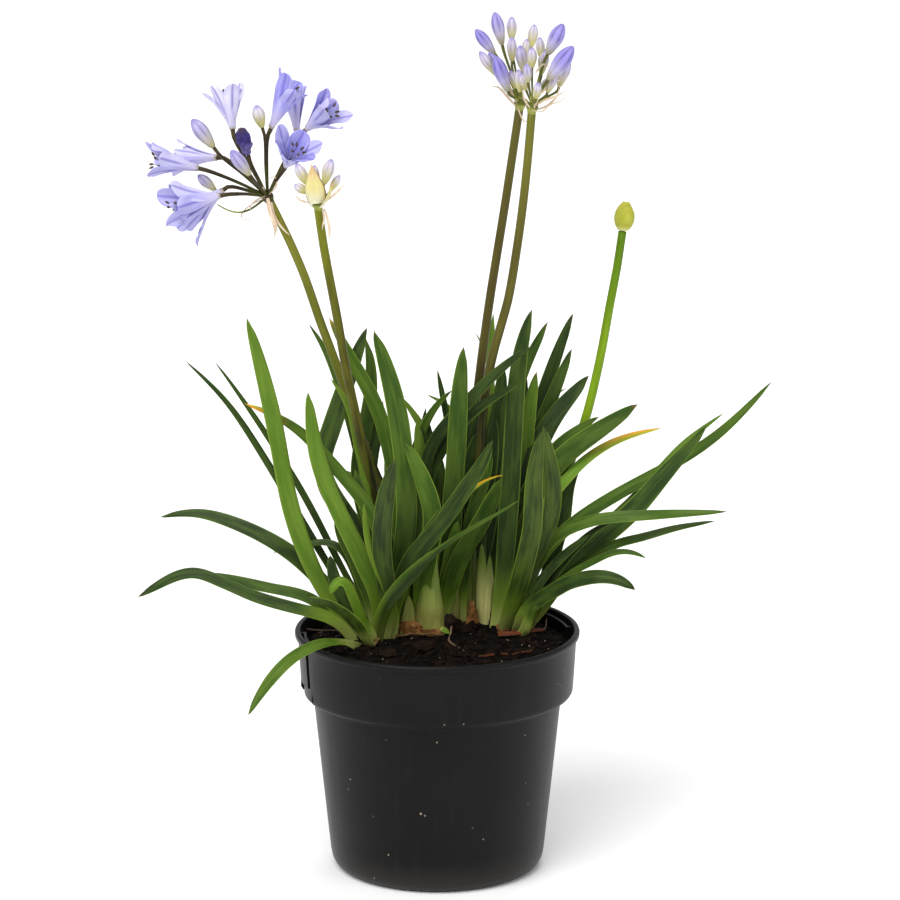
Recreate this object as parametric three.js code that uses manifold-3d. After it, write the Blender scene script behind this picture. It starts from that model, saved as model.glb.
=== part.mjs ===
// An agapanthus plant in its black nursery pot. Millimetres, +Z up.
//
// The origin is the middle of the pot's underside, so the plant stands on the plane z = 0. +X runs to the
// right of the plant's front, and -Y points out of the front towards whoever looks at it.
//
// The pot holds a plug of compost. Crowns, leaves and flower scapes all stand on the level top of that
// plug, a hair's breadth clear of it, and the flower heads sit on the scapes in the same way.

import * as THREE from 'three';
import { mergeVertices } from 'three/addons/utils/BufferGeometryUtils.js';
import Module from 'manifold-3d';

const wasm = await Module();
wasm.setup();

// ---------------------------------------------------------------- driving dimensions

// Pot: a moulded 15 cm nursery pot with a deep band under a rolled lip.
const POT_HEIGHT = 129;
const LIP_RADIUS = 75;
const LIP_DEPTH = 3.5;
const BAND_TOP_RADIUS = 73.4;
const BAND_BOTTOM_RADIUS = 71.6;
const BAND_FOOT = 96;
const BODY_TOP_RADIUS = 65.5;
const BODY_BOTTOM_RADIUS = 56.5;
const CORNER_HEIGHT = 9;
const FOOT_RADIUS = 50;
const WALL = 1.5;
const FLOOR = 2.4;
const POT_SIDES = 56;

// Label pockets: a thin arc of wall stands inside the band, and the band is cut away below its plate.
const POCKETS = [{ from: 9, to: 33 }, { from: 179, to: 203 }];
const POCKET_OUTER = 70.2;
const POCKET_INNER = 68.9;
const PLATE_FOOT = 101;

// Drain holes through the rim of the floor.
const DRAINS = 8;
const DRAIN_RADIUS = 4;
const DRAIN_RING = 43;

// Compost: level in the middle, falling a little towards the wall.
const COMPOST_TOP = 121;
const LEVEL_RADIUS = 64;
const COMPOST_EDGE = 118;
const COMPOST_EDGE_RADIUS = 68;

// The clearance kept wherever one piece rests on or against another.
const GAP = 0.3;
const FOOT_Z = COMPOST_TOP + GAP;

// Leaf blades are lozenges in section: two thin margins, a channelled upper face and a keel below.
const LEAF_RINGS = 12;
const LEAF_THICK_FOOT = 2.4;
const LEAF_THICK_TIP = 0.9;
const CHANNEL_FOOT = 0.34;
const CHANNEL_TIP = 0.12;

// Flower scapes and the thin stalks of single flowers.
const SCAPE_FOOT = 6;
const SCAPE_TOP = 4.4;
const SCAPE_RINGS = 11;
const SCAPE_SIDES = 8;
const PEDICEL = 2;
const HUB_RADIUS = 4;
const TEPALS = 6;
const TEPAL_WALL = 0.9;

// ---------------------------------------------------------------- colours and finishes

const finish = (color, roughness) => ({ color, roughness, metalness: 0 });
const POT_PLASTIC = finish(0x2d2b2b, 0.5);
const COMPOST = finish(0x1c140e, 0.95);
const PALE_BASE = finish(0x96a55a, 0.6);
const LEAF_GREEN = finish(0x4f7a2a, 0.5);
const LEAF_DARK = finish(0x345022, 0.5);
const LEAF_BRIGHT = finish(0x6e9a35, 0.5);
const SCAPE_BROWN = finish(0x5e5a2c, 0.5);
const SCAPE_GREEN = finish(0x8caa28, 0.5);
const STALK = finish(0x4c4a34, 0.55);
const TEPAL_BLUE = finish(0x9696e1, 0.6);
const BUD_VIOLET = finish(0x877dd2, 0.55);
const SPATHE_CREAM = finish(0xebe196, 0.7);
const BUD_GREEN = finish(0xbebe46, 0.55);

// ---------------------------------------------------------------- closed skins and solids

const vec = (x, y, z) => new THREE.Vector3(x, y, z);
const mix = THREE.MathUtils.lerp;
const radians = THREE.MathUtils.degToRad;

// A closed skin over a row of rings, which turn anticlockwise about the way the row runs. A ring of one
// corner ends the skin in a point, and any other end gets a flat cap.
function loft(rings) {
  const positions = rings.flat().flatMap((p) => [p.x, p.y, p.z]);
  const faces = [];
  let start = 0;
  for (let r = 0; r + 1 < rings.length; r++) {
    const here = rings[r].length;
    const next = rings[r + 1].length;
    const count = Math.max(here, next);
    for (let i = 0; i < count; i++) {
      const a = start + (here === 1 ? 0 : i);
      const b = start + (here === 1 ? 0 : (i + 1) % here);
      const c = start + here + (next === 1 ? 0 : (i + 1) % next);
      const d = start + here + (next === 1 ? 0 : i);
      if (here > 1) faces.push(a, b, c);
      if (next > 1) faces.push(a, c, d);
    }
    start += here;
  }
  const first = rings[0].length;
  for (let i = 1; i + 1 < first; i++) faces.push(0, i + 1, i);
  const last = rings.at(-1).length;
  for (let i = 1; i + 1 < last; i++) faces.push(start, start + i, start + i + 1);
  const geometry = new THREE.BufferGeometry();
  geometry.setAttribute('position', new THREE.Float32BufferAttribute(positions, 3));
  geometry.setIndex(faces);
  return geometry;
}

function toSolid(geometry) {
  const bare = geometry.clone();
  bare.deleteAttribute('normal');
  bare.deleteAttribute('uv');
  const merged = mergeVertices(bare, 1e-3);
  const vertProperties = merged.getAttribute('position').array;
  const triVerts = new Uint32Array(merged.index.array);
  return new wasm.Manifold(new wasm.Mesh({ numProp: 3, vertProperties, triVerts }));
}

function toGeometry(solid) {
  const mesh = solid.getMesh();
  const geometry = new THREE.BufferGeometry();
  geometry.setAttribute('position', new THREE.BufferAttribute(mesh.vertProperties, 3));
  geometry.setIndex(new THREE.BufferAttribute(mesh.triVerts, 1));
  return geometry;
}

const join = (geometries) => toGeometry(geometries.map(toSolid).reduce((a, b) => a.add(b)));

const plant = new THREE.Group();

function add(name, geometry, look) {
  const mesh = new THREE.Mesh(geometry, new THREE.MeshStandardMaterial(look));
  mesh.name = name;
  plant.add(mesh);
}

// Two directions square to an axis, which turn anticlockwise about it.
function crossAxes(axis) {
  const helper = Math.abs(axis.z) < 0.9 ? vec(0, 0, 1) : vec(0, 1, 0);
  const u = helper.cross(axis).normalize();
  return [u, axis.clone().cross(u)];
}

function roundRing(centre, axis, radius, sides) {
  const [u, v] = crossAxes(axis);
  return Array.from({ length: sides }, (_, i) => {
    const angle = (2 * Math.PI * i) / sides;
    return centre.clone()
      .addScaledVector(u, radius * Math.cos(angle))
      .addScaledVector(v, radius * Math.sin(angle));
  });
}

// A round rod along a smooth curve. Its radii are spread evenly along it, and a last radius of 0 makes a
// point.
function rod(points, radii, sides) {
  const curve = new THREE.CatmullRomCurve3(points, false, 'centripetal');
  const rings = radii.map((radius, i) => {
    const s = i / (radii.length - 1);
    const centre = curve.getPointAt(s);
    return radius > 0 ? roundRing(centre, curve.getTangentAt(s), radius, sides) : [centre];
  });
  return loft(rings);
}

// ---------------------------------------------------------------- pot and compost

// A profile of [radius, height] pairs turned about the pot's axis.
function turned(profile) {
  const outline = profile.map(([radius, height]) => new THREE.Vector2(radius, height));
  return new THREE.LatheGeometry(outline, POT_SIDES).rotateX(Math.PI / 2);
}

// A curved block between two radii, two heights and two angles.
function arcBlock(inner, outer, low, high, from, to) {
  const shape = new THREE.Shape();
  shape.absarc(0, 0, outer, radians(from), radians(to), false);
  shape.absarc(0, 0, inner, radians(to), radians(from), true);
  const options = { depth: high - low, bevelEnabled: false, curveSegments: 5 };
  return new THREE.ExtrudeGeometry(shape, options).translate(0, 0, low);
}

const POT_PROFILE = [
  [0, 0],
  [FOOT_RADIUS, 0],
  [BODY_BOTTOM_RADIUS - 2, CORNER_HEIGHT * 0.3],
  [BODY_BOTTOM_RADIUS, CORNER_HEIGHT],
  [BODY_TOP_RADIUS, BAND_FOOT - 3],
  [BAND_BOTTOM_RADIUS - 2, BAND_FOOT - 1.5],
  [BAND_BOTTOM_RADIUS, BAND_FOOT + 1],
  [BAND_TOP_RADIUS, POT_HEIGHT - LIP_DEPTH],
  [LIP_RADIUS, POT_HEIGHT - LIP_DEPTH + 1],
  [LIP_RADIUS, POT_HEIGHT - 1],
  [LIP_RADIUS - 1, POT_HEIGHT],
  [BAND_TOP_RADIUS - WALL, POT_HEIGHT - 0.8],
  [BAND_BOTTOM_RADIUS - WALL, BAND_FOOT + 2],
  [BODY_TOP_RADIUS - WALL, BAND_FOOT - 1],
  [BODY_BOTTOM_RADIUS - WALL, CORNER_HEIGHT],
  [FOOT_RADIUS, FLOOR],
  [0, FLOOR],
];

function pot() {
  let solid = toSolid(turned(POT_PROFILE));
  for (const { from, to } of POCKETS) {
    const low = BAND_FOOT + 1;
    const high = POT_HEIGHT - 2.5;
    const bandInside = BAND_BOTTOM_RADIUS - 0.8;
    const endTurn = 1.5;
    solid = solid.add(toSolid(arcBlock(POCKET_INNER, POCKET_OUTER, low, high, from, to)));
    for (const edge of [from, to - endTurn]) {
      solid = solid.add(toSolid(arcBlock(POCKET_INNER, bandInside, low, high, edge, edge + endTurn)));
    }
    const [left, right] = [from + endTurn, to - endTurn];
    const slot = arcBlock(POCKET_OUTER, LIP_RADIUS + 5, BAND_FOOT - 4, PLATE_FOOT, left, right);
    solid = solid.subtract(toSolid(slot));
  }
  for (let i = 0; i < DRAINS; i++) {
    const angle = (2 * Math.PI * i) / DRAINS;
    const drill = new THREE.CylinderGeometry(DRAIN_RADIUS, DRAIN_RADIUS, 3 * FLOOR, 10);
    drill.rotateX(Math.PI / 2);
    drill.translate(DRAIN_RING * Math.cos(angle), DRAIN_RING * Math.sin(angle), FLOOR / 2);
    solid = solid.subtract(toSolid(drill));
  }
  return toGeometry(solid);
}

const COMPOST_PROFILE = [
  [0, FLOOR + GAP],
  [FOOT_RADIUS - 1, FLOOR + GAP],
  [BODY_BOTTOM_RADIUS - WALL - GAP, CORNER_HEIGHT + GAP],
  [BODY_TOP_RADIUS - WALL - GAP, BAND_FOOT - 1],
  [BODY_TOP_RADIUS - WALL, BAND_FOOT],
  [COMPOST_EDGE_RADIUS, BAND_FOOT + 4],
  [COMPOST_EDGE_RADIUS, COMPOST_EDGE],
  [LEVEL_RADIUS, COMPOST_TOP],
  [0, COMPOST_TOP],
];

add('pot', pot(), POT_PLASTIC);
add('compost', turned(COMPOST_PROFILE), COMPOST);

// ---------------------------------------------------------------- crowns

// The pale swollen bases that the leaves and scapes grow from: [x, y], widest radius, neck radius, height.
const CROWNS = {
  crown_centre: { at: [-5, 24], radius: 7.5, neck: 3, height: 26 },
  crown_back: { at: [4, 44], radius: 5, neck: 2.6, height: 20 },
  crown_pale_shoot: { at: [25, 34], radius: 3.5, neck: 2, height: 26 },
  crown_front_right: { at: [36, 35], radius: 5, neck: 2.8, height: 18 },
};

function crown({ at: [x, y], radius, neck, height }) {
  const sides = 8;
  const shoulder = (radius + neck) / 2;
  const steps = [[0, radius * 0.82], [0.2, radius], [0.45, shoulder], [0.75, neck], [1, neck * 0.85]];
  const up = vec(0, 0, 1);
  return loft(steps.map(([s, r]) => roundRing(vec(x, y, FOOT_Z + s * height), up, r, sides)));
}

for (const [name, size] of Object.entries(CROWNS)) add(name, crown(size), PALE_BASE);

// ---------------------------------------------------------------- paths of leaves and scapes

// A path starts at its foot on the compost and runs through [x, z] points, as the plant looks from the
// front. Its depth y runs from the foot's own, through the first given value half way, to the second at
// the tip.
function plantPath({ foot: [x, y], front, depth: [middle, end] }) {
  const spots = [[x, FOOT_Z], ...front];
  const runs = [0];
  for (let i = 1; i < spots.length; i++) {
    runs.push(runs[i - 1] + Math.hypot(spots[i][0] - spots[i - 1][0], spots[i][1] - spots[i - 1][1]));
  }
  return spots.map(([across, up], i) => {
    const s = runs[i] / runs.at(-1);
    const deep = y * (1 - s) * (1 - 2 * s) + middle * 4 * s * (1 - s) + end * s * (2 * s - 1);
    return vec(across, deep, up);
  });
}

// A direction from a turn about Z, in degrees from the front, and a rise above the level.
function facing(turn, rise) {
  const level = Math.cos(radians(rise));
  return vec(Math.sin(radians(turn)) * level, -Math.cos(radians(turn)) * level, Math.sin(radians(rise)));
}

// ---------------------------------------------------------------- leaves

// Width along a blade: narrow at the foot, full by a third of the way, then drawn in to the tip.
function widthAt(s, blunt) {
  const rise = mix(0.68, 1, THREE.MathUtils.smoothstep(s, 0, 0.35));
  const taperFrom = blunt ? 0.6 : 0.42;
  const power = blunt ? 3 : 2;
  return s < taperFrom ? rise : rise * (1 - ((s - taperFrom) / (1 - taperFrom)) ** power);
}

// face is the way the upper side looks, as [turn, rise]. At its foot every blade looks straight out of
// the front, or straight back if its upper side is turned that way, because the bases sheathe each other.
function leaf(plan) {
  const { width, face: [turn, rise], blunt = false } = plan;
  const curve = new THREE.CatmullRomCurve3(plantPath(plan), false, 'centripetal');
  const atFoot = facing(Math.abs(turn) > 90 ? turn : 0, 0);
  const above = facing(turn, rise);
  const rings = [];
  for (let i = 0; i < LEAF_RINGS; i++) {
    const s = i / LEAF_RINGS;
    const centre = curve.getPointAt(s);
    const along = curve.getTangentAt(s);
    const looks = atFoot.clone().lerp(above, Math.min(1, s * 4));
    const up = looks.addScaledVector(along, -looks.dot(along)).normalize();
    const side = up.clone().cross(along);
    const half = (width * widthAt(s, blunt)) / 2;
    const lift = half * mix(CHANNEL_FOOT, CHANNEL_TIP, Math.min(1, s * 1.5));
    const thick = mix(LEAF_THICK_FOOT, LEAF_THICK_TIP, Math.sqrt(s)) / 2;
    const ring = [[half, lift], [0, thick], [-half, lift], [0, -thick]].map(([across, over]) =>
      centre.clone().addScaledVector(side, across).addScaledVector(up, over));
    if (i === 0) ring.forEach((corner) => corner.setZ(FOOT_Z));
    rings.push(ring);
  }
  rings.push([curve.getPointAt(1)]);
  return loft(rings);
}

const LEAVES = {
  // Around the front left crown.
  leaf_rim_droop: { foot: [-41, -11], depth: [-57, -66], width: 8, face: [0, 62], blunt: true,
    front: [[-50, 129], [-57, 132], [-65, 132], [-76, 128], [-88, 116], [-97, 101]] },
  leaf_low_left_long: { foot: [-47, -6], depth: [-20, -34], width: 10, face: [0, 62],
    front: [[-52, 135], [-72, 142], [-96, 151], [-114, 161], [-128, 167], [-155, 155]] },
  leaf_low_left_short: { foot: [-47, 3], depth: [5, 6], width: 8, face: [0, 55],
    front: [[-50, 131], [-57, 136], [-68, 144], [-93, 150], [-121, 157]] },
  leaf_grey_stub: { foot: [-35, -15], depth: [-30, -45], width: 9, face: [160, 35], blunt: true,
    front: [[-42, 137], [-50, 147], [-59, 154], [-67, 158]] },
  leaf_left_arch: { foot: [-46, 11], depth: [18, 24], width: 11, face: [0, 58],
    front: [[-49, 134], [-59, 147], [-74, 162], [-89, 172], [-106, 180], [-128, 186], [-147, 183]] },
  leaf_left_thin_bow: { foot: [-41, 17], depth: [26, 38], width: 6, face: [0, 60],
    front: [[-39, 136], [-44, 154], [-52, 166], [-63, 168], [-74, 164], [-88, 160]] },
  leaf_left_tall: { foot: [-38, -1], depth: [0, -11], width: 10, face: [15, 10],
    front: [[-49, 133], [-61, 151], [-73, 180], [-79, 204], [-84, 236], [-91, 270], [-98, 298]] },
  leaf_back_left_a: { foot: [-38, 25], depth: [46, 62], width: 7, face: [20, 15],
    front: [[-47, 136], [-71, 174], [-93, 210], [-113, 239], [-135, 260]] },
  leaf_back_left_b: { foot: [-33, 34], depth: [56, 78], width: 6, face: [20, 15],
    front: [[-49, 146], [-72, 188], [-93, 220], [-112, 246], [-120, 256]] },
  leaf_left_bright: { foot: [-31, 3], depth: [-5, -3], width: 10, face: [15, 15],
    front: [[-31, 143], [-41, 170], [-55, 201], [-63, 224], [-67, 257]] },
  leaf_front_folded: { foot: [-31, -8], depth: [-22, -34], width: 10, face: [-10, 45],
    front: [[-30, 135], [-26, 146], [-17, 158], [-4, 173], [9, 184], [27, 196], [43, 207]] },
  leaf_front_grey: { foot: [-26, -1], depth: [-12, -20], width: 11, face: [175, 10], blunt: true,
    front: [[-26, 146], [-29, 174], [-27, 202], [-22, 225]] },
  leaf_left_yellow_tip: { foot: [-34, 10], depth: [2, 10], width: 8, face: [0, 40],
    front: [[-27, 165], [-34, 190], [-49, 210], [-70, 233], [-82, 241], [-101, 248]] },

  // Around and behind the centre crown.
  leaf_dark_left: { foot: [-27, 28], depth: [31, 46], width: 12, face: [-20, 10],
    front: [[-33, 159], [-52, 188], [-62, 207], [-55, 231], [-46, 258], [-37, 281]] },
  leaf_mid_left_pale: { foot: [-22, 22], depth: [36, 34], width: 9, face: [20, 10],
    front: [[-20, 179], [-31, 237], [-46, 267], [-57, 289]] },
  leaf_mid_left_upright: { foot: [-26, 44], depth: [54, 64], width: 9, face: [0, 5],
    front: [[-35, 164], [-43, 201], [-37, 231], [-35, 254], [-38, 271]] },
  leaf_centre_left_broad: { foot: [-17, 13], depth: [10, 14], width: 12, face: [10, 8],
    front: [[-20, 155], [-16, 185], [-17, 207], [-20, 238], [-26, 265], [-33, 286]] },
  leaf_centre_left_short: { foot: [-9, 14], depth: [4, 3], width: 11, face: [-12, 10], blunt: true,
    front: [[-8, 147], [-4, 170], [-2, 188], [-3, 196], [-6, 205], [-11, 218], [-17, 229]] },
  leaf_centre_bow: { foot: [-14, 48], depth: [56, 55], width: 6, face: [0, 25],
    front: [[-17, 163], [-14, 201], [-8, 223], [-2, 235], [8, 245]] },
  leaf_centre_upright: { foot: [-2, 34], depth: [26, 16], width: 11.5, face: [5, 5],
    front: [[4, 151], [7, 169], [8, 191], [10, 219], [12, 258], [14, 277]] },
  leaf_centre_blue: { foot: [-20, 6], depth: [-5, -15], width: 10, face: [-15, 20],
    front: [[-23, 137], [-18, 157], [-11, 171], [-2, 181], [11, 201], [24, 222], [29, 234]] },

  // Around the front right crown.
  leaf_front_broad: { foot: [33.5, 16], depth: [-10, -12], width: 11, face: [180, 12], blunt: true,
    front: [[37, 132], [40, 142], [44, 157], [47, 171], [50, 188], [50, 202], [51, 220], [54, 238]] },
  leaf_right_bulged: { foot: [40, 18.5], depth: [0, -4], width: 11, face: [200, 10],
    front: [[42, 138], [51, 162], [59, 185], [61, 204], [55, 239]] },
  leaf_right_broad: { foot: [26, 20], depth: [30, 40], width: 11, face: [-5, 6],
    front: [[29, 125], [35, 150], [37, 175], [39, 202], [41, 239], [44, 271], [50, 292]] },
  leaf_crossing_centre: { foot: [-10, 44], depth: [32, 22], width: 8, face: [10, 45],
    front: [[-10, 158], [-9, 178], [-8, 197], [-4, 220], [4, 231], [17, 246], [35, 265], [50, 276]] },
  leaf_right_tall_thin: { foot: [25, 44], depth: [68, 80], width: 9, face: [-15, 10],
    front: [[36, 151], [48, 212], [56, 235], [65, 262], [73, 282]] },
  leaf_right_dark: { foot: [36, 48], depth: [48, 60], width: 12, face: [-10, 30],
    front: [[40, 154], [52, 211], [63, 232], [72, 242], [81, 252]] },
  leaf_right_brown_tip: { foot: [42, 43], depth: [40, 34], width: 12, face: [0, 25],
    front: [[44, 155], [57, 199], [65, 211], [74, 219], [88, 229], [106, 242]] },
  leaf_right_yellow_end: { foot: [47, 38], depth: [34, 56], width: 7, face: [0, 50],
    front: [[47, 156], [60, 191], [73, 205], [80, 212], [99, 221], [120, 224]] },
  leaf_far_right: { foot: [50, 33], depth: [31, 50], width: 8, face: [0, 45],
    front: [[49, 148], [65, 172], [80, 184], [98, 195], [115, 204], [139, 217], [154, 228],
      [178, 251]] },
  leaf_right_wide: { foot: [47.5, 28.5], depth: [20, 22], width: 12, face: [0, 30],
    front: [[50, 140], [69, 157], [87, 173], [104, 188], [116, 203], [131, 220], [142, 233]] },
  leaf_right_bright: { foot: [45, 24], depth: [6, 0], width: 10, face: [0, 60],
    front: [[44, 140], [50, 158], [62, 176], [72, 182], [86, 187], [106, 189], [132, 191], [152, 192]] },
  leaf_right_second: { foot: [52, 21], depth: [11, 4], width: 8, face: [0, 62],
    front: [[55, 140], [72, 156], [85, 166], [94, 172], [109, 176], [123, 181], [146, 186]] },
  leaf_right_low: { foot: [43, 13], depth: [-8, -24], width: 10, face: [0, 45],
    front: [[46, 136], [56, 146], [63, 152], [71, 157], [82, 161], [94, 161], [103, 156]] },
};

const BRIGHT = [
  'leaf_left_tall', 'leaf_left_bright', 'leaf_left_yellow_tip', 'leaf_right_bright',
  'leaf_right_yellow_end',
];
const DARK = [
  'leaf_dark_left', 'leaf_right_dark', 'leaf_right_wide', 'leaf_centre_blue', 'leaf_front_broad',
];

function leafLook(name) {
  if (BRIGHT.includes(name)) return LEAF_BRIGHT;
  return DARK.includes(name) ? LEAF_DARK : LEAF_GREEN;
}

for (const [name, plan] of Object.entries(LEAVES)) add(name, leaf(plan), leafLook(name));

// ---------------------------------------------------------------- scapes

const SCAPES = {
  scape_open_head: { foot: [-6, 50], depth: [32, 22], look: SCAPE_BROWN,
    front: [[-17, 162], [-40, 223], [-50, 256], [-59, 281], [-72, 320], [-87, 353]] },
  scape_opening_head: { foot: [-21, 38], depth: [13, -24], look: SCAPE_BROWN,
    front: [[-28, 152], [-33, 192], [-40, 228], [-47, 265], [-52, 299], [-57.5, 333], [-60.5, 358]] },
  scape_bud_head_back: { foot: [8, 56], depth: [51, 46], look: SCAPE_BROWN,
    front: [[9, 135], [15, 185], [22, 250], [27, 290], [36, 349], [43, 398]] },
  scape_bud_head_front: { foot: [15, 46], depth: [34, 22], look: SCAPE_BROWN,
    front: [[16, 137], [21, 194], [27, 260], [36, 293], [45, 353], [49, 400]] },
  scape_closed_bud: { foot: [37, 53], depth: [55, 60], look: SCAPE_GREEN,
    front: [[50, 152], [78, 226], [86, 259], [92, 293], [97, 321], [98, 330]] },
};

// The top of a scape: where it ends, and the way it points there.
const tops = {};

function scape(name, plan) {
  const curve = new THREE.CatmullRomCurve3(plantPath(plan), false, 'centripetal');
  tops[name] = { at: curve.getPoint(1), way: curve.getTangent(1) };
  const rings = [];
  for (let i = 0; i <= SCAPE_RINGS; i++) {
    const s = i / SCAPE_RINGS;
    const radius = mix(SCAPE_FOOT, SCAPE_TOP, Math.sqrt(s)) / 2;
    const ring = roundRing(curve.getPointAt(s), curve.getTangentAt(s), radius, SCAPE_SIDES);
    if (i === 0) ring.forEach((corner) => corner.setZ(FOOT_Z));
    rings.push(ring);
  }
  return loft(rings);
}

for (const [name, plan] of Object.entries(SCAPES)) add(name, scape(name, plan), plan.look);

// ---------------------------------------------------------------- heads

// A point on the head that a scape carries, from its offset to the top of that scape.
const onHead = (name, [x, y, z]) => tops[name].at.clone().add(vec(x, y, z));

// The swollen node at the top of a scape, where the stalks of its flowers meet.
function hub(name) {
  const { at, way } = tops[name];
  const height = 2 * HUB_RADIUS;
  const steps = [[0, 0.6], [0.3, 1], [0.7, 1], [1, 0.5]];
  const sides = 8;
  return loft(steps.map(([s, r]) =>
    roundRing(at.clone().addScaledVector(way, GAP + s * height), way, r * HUB_RADIUS, sides)));
}

const hubMiddle = (name) => tops[name].at.clone().addScaledVector(tops[name].way, GAP + HUB_RADIUS);

// A thin stalk from the hub that turns into line with what it carries.
function stalk(name, end, way) {
  const from = hubMiddle(name);
  const before = end.clone().addScaledVector(way, -6);
  const radii = [1, 1, 1, 1, 1.1].map((r) => (r * PEDICEL) / 2);
  return rod([from, before, end], radii, 6);
}

// A closed flower bud with its stalk, in one piece.
function stalkedBud(name, { base, tip, width }) {
  const start = onHead(name, base);
  const end = onHead(name, tip);
  const way = end.clone().sub(start).normalize();
  const radii = [1, width * 0.4, width / 2, width * 0.42, 0];
  const body = rod([start.clone().addScaledVector(way, -0.5), end], radii, 7);
  return join([stalk(name, start, way), body]);
}

// An open flower: a tube that widens into six tepals. Corners of a ring lie in turn on the middle of a
// tepal and in the notch between two. Each step gives how far along the flower both lie, and their radii.
function flower(name, { base, mouth, spread }) {
  const start = onHead(name, base);
  const axis = onHead(name, mouth).sub(start);
  const length = axis.length();
  axis.normalize();
  const [u, v] = crossAxes(axis);
  const skin = [
    { tepal: [0, 1.4], notch: [0, 1.3] },
    { tepal: [0.2, 2.6], notch: [0.2, 2.4] },
    { tepal: [0.42, 4.4], notch: [0.42, 3.8] },
    { tepal: [0.74, spread * 0.66], notch: [0.58, spread * 0.42] },
    { tepal: [1, spread], notch: [0.7, spread * 0.5] },
    { tepal: [0.76, spread * 0.66 - TEPAL_WALL], notch: [0.6, spread * 0.42 - TEPAL_WALL] },
    { tepal: [0.45, 4.4 - 1.3 * TEPAL_WALL], notch: [0.45, 3.8 - 1.3 * TEPAL_WALL] },
  ];
  const rings = skin.map(({ tepal, notch }) => Array.from({ length: 2 * TEPALS }, (_, i) => {
    const [s, radius] = i % 2 ? notch : tepal;
    const angle = (Math.PI * i) / TEPALS;
    return start.clone().addScaledVector(axis, GAP + s * length)
      .addScaledVector(u, radius * Math.cos(angle)).addScaledVector(v, radius * Math.sin(angle));
  }));
  rings.push([start.clone().addScaledVector(axis, GAP + 0.3 * length)]);
  return loft(rings);
}

// Offsets from the top of the scape of the open head.
const OPEN_FLOWERS = {
  flower_top_left: { base: [-19, 6, 36], mouth: [-22, 16, 57], spread: 12 },
  flower_top: { base: [1, -2, 38], mouth: [12, -8, 62], spread: 13 },
  flower_top_back: { base: [14, 12, 34], mouth: [12, 24, 58], spread: 10 },
  flower_right: { base: [19, 2, 37], mouth: [35, -8, 50], spread: 12 },
  flower_facing: { base: [9, -12, 20], mouth: [14, -30, 32], spread: 14 },
  flower_left_upper: { base: [-36, -6, 18], mouth: [-61, -10, 25], spread: 12 },
  flower_left_back: { base: [-27, 10, 21], mouth: [-50, 22, 24], spread: 11 },
  flower_left_lower: { base: [-24, -24, 7], mouth: [-51, -32, 4], spread: 13 },
};
const OPEN_HEAD_BUDS = [
  { base: [-28, -12, 30], tip: [-40, -14, 46], width: 7 },
  { base: [-3, -10, 40], tip: [-6, -12, 52], width: 5.5 },
  { base: [-10, -18, 28], tip: [-14, -22, 42], width: 6.5 },
  { base: [-9, -26, 18], tip: [-18, -34, 32], width: 6 },
  { base: [-28, -2, 6], tip: [-37, -2, 14], width: 4 },
];

function flowerEnds({ base, mouth }) {
  const end = onHead('scape_open_head', base);
  return [end, onHead('scape_open_head', mouth).sub(end).normalize()];
}

function openHeadStalks() {
  const pieces = [hub('scape_open_head')];
  for (const plan of Object.values(OPEN_FLOWERS)) {
    pieces.push(stalk('scape_open_head', ...flowerEnds(plan)));
  }
  for (const bud of OPEN_HEAD_BUDS) pieces.push(stalkedBud('scape_open_head', bud));
  return join(pieces);
}

add('open_head_stalks', openHeadStalks(), STALK);
for (const [name, plan] of Object.entries(OPEN_FLOWERS)) {
  add(name, flower('scape_open_head', plan), TEPAL_BLUE);
}

// The two heads that are still in bud, as offsets from the tops of their scapes.
const BACK_HEAD_BUDS = [
  { base: [-13, 2, 28], tip: [-23, 2, 41], width: 7 },
  { base: [-9, 8, 32], tip: [-13, 10, 49], width: 7 },
  { base: [-12, -6, 18], tip: [-21, -9, 31], width: 6 },
  { base: [-6, -9, 10], tip: [-13, -12, 29], width: 8 },
  { base: [-4, 10, 34], tip: [-4, 14, 46], width: 6 },
  { base: [-4, 2, 24], tip: [-4, 2, 37], width: 6 },
  { base: [2, -6, 20], tip: [0, -8, 34], width: 6.5 },
  { base: [6, 10, 30], tip: [8, 14, 42], width: 6 },
];
const FRONT_HEAD_BUDS = [
  { base: [8, 3, 29], tip: [16, 3, 45], width: 9 },
  { base: [8, -6, 17], tip: [21, -9, 35], width: 10 },
  { base: [14, 4, 12], tip: [19, 6, 27], width: 7 },
  { base: [0, 2, 22], tip: [0, 2, 33], width: 6 },
  { base: [5, 8, 18], tip: [7, 10, 31], width: 6 },
  { base: [-2, -8, 16], tip: [-3, -10, 26], width: 5.5 },
  { base: [-6, 4, 9], tip: [-7, 6, 21], width: 5 },
  { base: [2, -10, 8], tip: [3, -14, 17], width: 5 },
];

function budHead(name, buds) {
  return join([hub(name), ...buds.map((bud) => stalkedBud(name, bud))]);
}

add('bud_head_back', budHead('scape_bud_head_back', BACK_HEAD_BUDS), BUD_VIOLET);
add('bud_head_front', budHead('scape_bud_head_front', FRONT_HEAD_BUDS), BUD_VIOLET);

// The head that is just opening: young buds that push out of the split spathe.
const YOUNG_BUDS = [
  { base: [-5, 1, 11], tip: [-11, 2, 22], width: 6 },
  { base: [-5, 1, 7], tip: [-12, 2, 11], width: 5 },
  { base: [3, 3, 11], tip: [7, 4, 24], width: 6 },
  { base: [-1, 6, 9], tip: [-2, 9, 20], width: 5 },
];
// The split spathe: a broad bract stands before the buds and a narrow one beside them. Each is set by the
// way it stands from the scape, as a turn from the front.
const BRACTS = {
  spathe_front: { turn: 0, width: 10, height: 26, lean: 0 },
  spathe_side: { turn: 75, width: 4, height: 15, lean: 7 },
};
const BRACT_THICK = 1.6;
const BRACT_FOOT = 3;

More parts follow.
